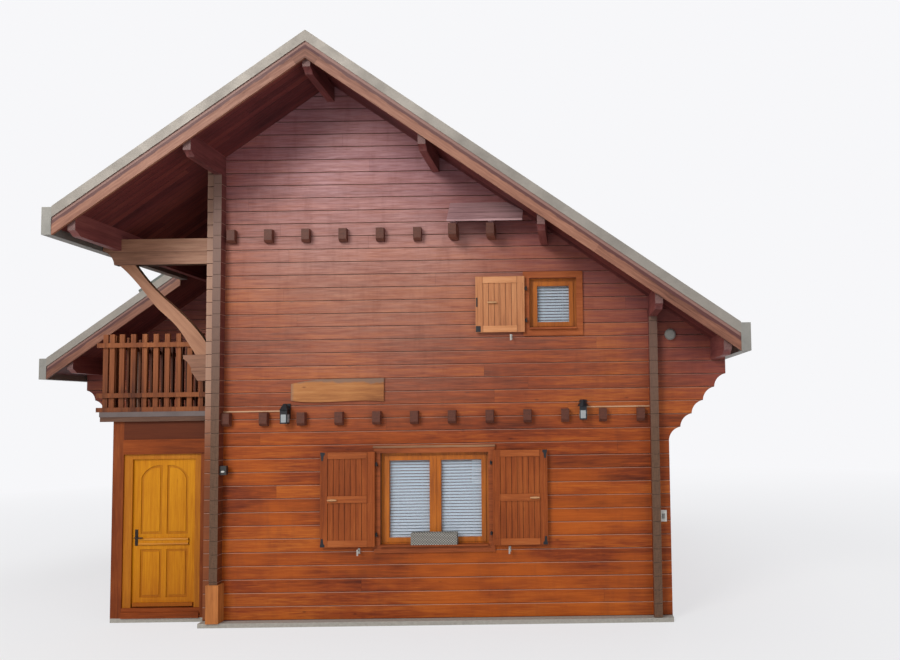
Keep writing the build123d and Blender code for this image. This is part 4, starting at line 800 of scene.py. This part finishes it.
def corner_irons(name, body, outer_x, inward):
    """Black tapering irons at the two outer corners of a lower leaf."""
    bm = bmesh.new()
    for z, up in zip(LOWER_LEAF_Z, (1, -1)):
        rings = []
        for y in (LEAF_FACE, LEAF_FACE - IRON_THICK):
            rings.append([(outer_x + inward * x, y, z + up * rise) for x, rise in IRON_OUTLINE])
        add_loft(bm, rings)
    soften(mesh_object(name, bm, iron, body), 0.0008)


LATCH_RINGS = 13
LATCH_SIDES = 14
LATCH_LENGTH = 0.13
LATCH_RADIUS = 0.009
LATCH_SWELL = 0.006
LATCH_OUT = 0.022
STUD_PARTS = (0.25, 0.75)
STUD_HALF = 0.005
STUD_OUT = 0.02


def latch(name, body, x_low, z, proud=0.0):
    """Pale turned catch on a leaf, on two studs."""
    bm = bmesh.new()
    face = LEAF_FACE - proud
    axis_y = face - LATCH_OUT
    angles = [step * 2 * math.pi / LATCH_SIDES for step in range(LATCH_SIDES)]
    rings = []
    for i in range(LATCH_RINGS):
        part = i / (LATCH_RINGS - 1)
        x = x_low + part * LATCH_LENGTH
        radius = LATCH_RADIUS + LATCH_SWELL * math.sin(part * math.pi)
        rings.append([(x, axis_y + radius * math.cos(angle), z + radius * math.sin(angle))
                      for angle in angles])
    add_loft(bm, rings)
    for part in STUD_PARTS:
        x = x_low + part * LATCH_LENGTH
        add_bar(bm, (x - STUD_HALF, face - STUD_OUT, z - STUD_HALF),
                (x + STUD_HALF, face, z + STUD_HALF))
    mesh_object(name, bm, pale_wood, body)


def stay(name, x, z):
    """Catch on the wall under an open leaf: a plate, an arm and a turned-up tongue."""
    plate = ((x - 0.016, FRONT - 0.004, z - 0.045), (x + 0.016, FRONT, z + 0.03))
    arm = ((x - 0.007, FRONT - 0.088, z - 0.006), (x + 0.007, FRONT - 0.002, z + 0.006))
    tongue = ((x - 0.011, FRONT - 0.094, z - 0.062), (x + 0.011, FRONT - 0.084, z + 0.022))
    bar_piece(name, (plate, arm, tongue), zinc, edge=0.003)


corner_irons("left_leaf_irons", "left_shutter", LEFT_FIELD[0] - LEAF_RIM, 1)
corner_irons("right_leaf_irons", "right_shutter", RIGHT_FIELD[1] + LEAF_RIM, -1)
latch("left_leaf_latch", "left_shutter", -1.50, 1.705, 0.012)
latch("right_leaf_latch", "right_shutter", 1.31, 1.705, 0.012)
latch("upper_leaf_latch", "upper_shutter", 0.74, 4.43)
stay("left_stay", -1.085, 1.0)
stay("right_stay", 1.015, 1.0)
stay("upper_stay", 1.06, 3.955)

# Guide, foot iron and bolt of the upper leaf
bar_piece("upper_leaf_irons", (
    ((0.577, FRONT - 0.083, 4.37), (0.597, LEAF_FACE, 4.5)),
    ((0.571, FRONT - 0.08, 4.016), (0.64, LEAF_FACE, 4.1)),
    ((0.583, FRONT - 0.091, 4.41), (0.591, FRONT - 0.082, 4.455)),
), iron, "upper_shutter")

# Panes of the wall lanterns: heights, and places round the middle of a lantern
LANTERN_Z = (2.79, 2.9)
LANTERN_Y = FRONT - 0.095
PANE_HALF = 0.036
PANE_INNER, PANE_OUTER = 0.0495, 0.0525


def lantern_panes(name, x):
    """Three panes proud of a lantern's body: left, front and right."""
    z_low, z_high = LANTERN_Z
    y_low, y_high = LANTERN_Y - PANE_HALF, LANTERN_Y + PANE_HALF
    panes = (
        ((x - PANE_OUTER, y_low, z_low), (x - PANE_INNER, y_high, z_high)),
        ((x - PANE_HALF, LANTERN_Y - PANE_OUTER, z_low),
         (x + PANE_HALF, LANTERN_Y - PANE_INNER, z_high)),
        ((x + PANE_INNER, y_low, z_low), (x + PANE_OUTER, y_high, z_high)),
    )
    bar_piece(name, panes, lantern_glass, edge=0.001)


lantern_panes("left_lantern_panes", -2.1)
lantern_panes("right_lantern_panes", 2.06)

# Moulded bar across the entrance leaf, over the plain bar of the solid: rounded noses above and
# below a hollow. Each point of the profile tells how far it stands out, and how high it is.
MOULDING_X = (-4.292, -3.578)
MOULDING_Z = (1.070, 1.171)
MOULDING_BACK = DOOR_FACE - HAIR
PROFILE_HEIGHT = 0.092
PROFILE = ((0.0, 0.0), (0.010, 0.0), (0.024, 0.006), (0.028, 0.016), (0.024, 0.026),
           (0.014, 0.032), (0.010, 0.045), (0.014, 0.058), (0.024, 0.064), (0.030, 0.074),
           (0.026, 0.086), (0.012, PROFILE_HEIGHT), (0.0, PROFILE_HEIGHT))
bm = bmesh.new()
stretch = (MOULDING_Z[1] - MOULDING_Z[0]) / PROFILE_HEIGHT
profile = [(MOULDING_BACK - out, MOULDING_Z[0] + rise * stretch) for out, rise in PROFILE]
add_loft(bm, [[(x, y, z) for y, z in profile] for x in MOULDING_X])
soften(mesh_object("door_moulding", bm, moulding_wood, "entry_door"), 0.002)

# Drip board over the lower window, lens of the sensor lamp, and rocker of the switch box on its
# plate
bar_piece("window_drip_board", (((-0.885, FRONT - 0.040, 2.412), (0.825, FRONT, 2.442)),),
          drip_wood, edge=0.006)
LENS_AT = (-2.945, FRONT - 0.1215, 2.12)
LENS_SIZE = (1.3, 0.45, 0.7, 1)
bm = bmesh.new()
bmesh.ops.create_uvsphere(bm, u_segments=20, v_segments=12, radius=0.02,
                          matrix=Matrix.Translation(LENS_AT) @ Matrix.Diagonal(LENS_SIZE))
mesh_object("sensor_lens", bm, white_plastic)
bar_piece("switch_rocker", (
    ((3.1315, FRONT - 0.048, 1.385), (3.1735, FRONT - 0.0445, 1.455)),
    ((3.1415, FRONT - 0.053, 1.395), (3.1635, FRONT - 0.047, 1.445)),
), grey_plastic)

# Soil in the planter, slightly uneven
SOIL_AT = Vector((-0.03, FRONT - 0.021, 1.205))
SOIL_SIZE = (0.62, 0.092)
SOIL_UNEVEN = (-0.004, 0.006)
bm = bmesh.new()
bmesh.ops.create_grid(bm, x_segments=40, y_segments=8, size=0.5)
dice = random.Random(4)
for vert in bm.verts:
    across, deep = vert.co.x * SOIL_SIZE[0], vert.co.y * SOIL_SIZE[1]
    vert.co = SOIL_AT + Vector((across, deep, dice.uniform(*SOIL_UNEVEN)))
mesh_object("planter_soil", bm, soil)


def seen_directly(tree):
    """One for camera, glossy and transmission rays, which see the backdrop, and else zero."""
    rays = tree.nodes.new("ShaderNodeLightPath").outputs
    seen = rays["Is Camera Ray"]
    for kind in ("Is Glossy Ray", "Is Transmission Ray"):
        either = tree.nodes.new("ShaderNodeMath")
        either.operation = "MAXIMUM"
        tree.links.new(seen, either.inputs[0])
        tree.links.new(rays[kind], either.inputs[1])
        seen = either.outputs[0]
    return seen


def blend_out(tree, factor, first, second, output):
    """Mix two shaders on their way out of a node tree."""
    blend = tree.nodes.new("ShaderNodeMixShader")
    for socket, source in zip(blend.inputs, (factor, first, second)):
        tree.links.new(source, socket)
    tree.links.new(blend.outputs[0], tree.nodes[output].inputs["Surface"])


# Floor, fading into the backdrop with the distance from the middle
BACKDROP = (0.93, 0.93, 0.95, 1.0)
FLOOR_HALF = 90
FLOOR_DROP = 0.002
FADE_FROM, FADE_TO = 8.0, 26.0
bm = bmesh.new()
bmesh.ops.create_grid(bm, x_segments=1, y_segments=1, size=FLOOR_HALF)
floor_data = bpy.data.meshes.new("floor")
bm.to_mesh(floor_data)
bm.free()
s = Shader("pale_floor")
s.colour((0.74, 0.74, 0.73, 1.0))
s.set("Roughness", 0.9)
away = s.node("ShaderNodeVectorMath", {0: s.coordinate()}, operation="LENGTH").outputs["Value"]
share = s.multiply(seen_directly(s.tree), s.between(away, FADE_FROM, FADE_TO, 0.68, 1.0))
pale = s.node("ShaderNodeEmission", {"Color": BACKDROP, "Strength": 1.0})
blend_out(s.tree, share, s.bsdf.outputs[0], pale.outputs[0], "Material Output")
floor_data.materials.append(s.material)
floor = bpy.data.objects.new("floor", floor_data)
floor.location.z = -FLOOR_DROP
bpy.context.scene.collection.objects.link(floor)

# World: soft light, and the backdrop for the rays that see it
world = bpy.data.worlds.new("studio")
bpy.context.scene.world = world
world.use_nodes = True
tree = world.node_tree
background = tree.nodes["Background"]
backdrop = tree.nodes.new("ShaderNodeBackground")
for node, colour, strength in ((background, (0.92, 0.95, 1.0, 1.0), 0.45),
                               (backdrop, BACKDROP, 1.0)):
    node.inputs["Color"].default_value = colour
    node.inputs["Strength"].default_value = strength
blend_out(tree, seen_directly(tree), background.outputs[0], backdrop.outputs[0], "World Output")

# Large soft lamps: place, aim, size, power, colour, and whether glass and metal mirror them
LAMPS = (
    ("key", (-11, -24, 15), (0, -2, 3.4), 10, 3800, (1.0, 0.97, 0.93), True),
    ("fill", (17, -22, 7), (0, 0, 3), 14, 1150, (0.95, 0.97, 1.0), False),
    ("top", (0, 2, 26), (0, 0, 3), 18, 1600, (1, 1, 1), True),
    ("back", (6, 26, 14), (0, 0, 3), 14, 2000, (1, 1, 1), True),
)
for name, place, aim, size, power, colour, mirrored in LAMPS:
    data = bpy.data.lights.new(name, "AREA")
    data.size = size
    data.energy = power
    data.color = colour
    lamp = bpy.data.objects.new(name, data)
    lamp.location = place
    lamp.rotation_euler = (Vector(aim) - Vector(place)).to_track_quat("-Z", "Y").to_euler()
    lamp.visible_glossy = mirrored
    bpy.context.scene.collection.objects.link(lamp)

# Camera, fitted to the photograph: angles upwards, sideways and about the line of sight
CAMERA_AT = (2.003, -15.451, 2.913)
CAMERA_RISE, CAMERA_YAW, CAMERA_ROLL = (math.radians(angle) for angle in (3.37, -0.19, -0.82))
camera_data = bpy.data.cameras.new("camera")
camera_data.sensor_width = 36
camera_data.lens = 32
camera_data.shift_x = -0.1397
camera_data.shift_y = 0.0359
camera_data.clip_end = 400
camera = bpy.data.objects.new("camera", camera_data)
bpy.context.scene.collection.objects.link(camera)
sideways, ahead = math.sin(CAMERA_YAW), math.cos(CAMERA_YAW)
level = math.cos(CAMERA_RISE)
forward = Vector((sideways * level, ahead * level, math.sin(CAMERA_RISE)))
right = Vector((ahead, -sideways, 0))
upward = right.cross(forward)
right_rolled = math.cos(CAMERA_ROLL) * right + math.sin(CAMERA_ROLL) * upward
up_rolled = -math.sin(CAMERA_ROLL) * right + math.cos(CAMERA_ROLL) * upward
turn = Matrix((right_rolled, up_rolled, -forward)).transposed()
camera.matrix_world = Matrix.Translation(CAMERA_AT) @ turn.to_4x4()
bpy.context.scene.camera = camera
bpy.context.scene.view_settings.view_transform = "Standard"
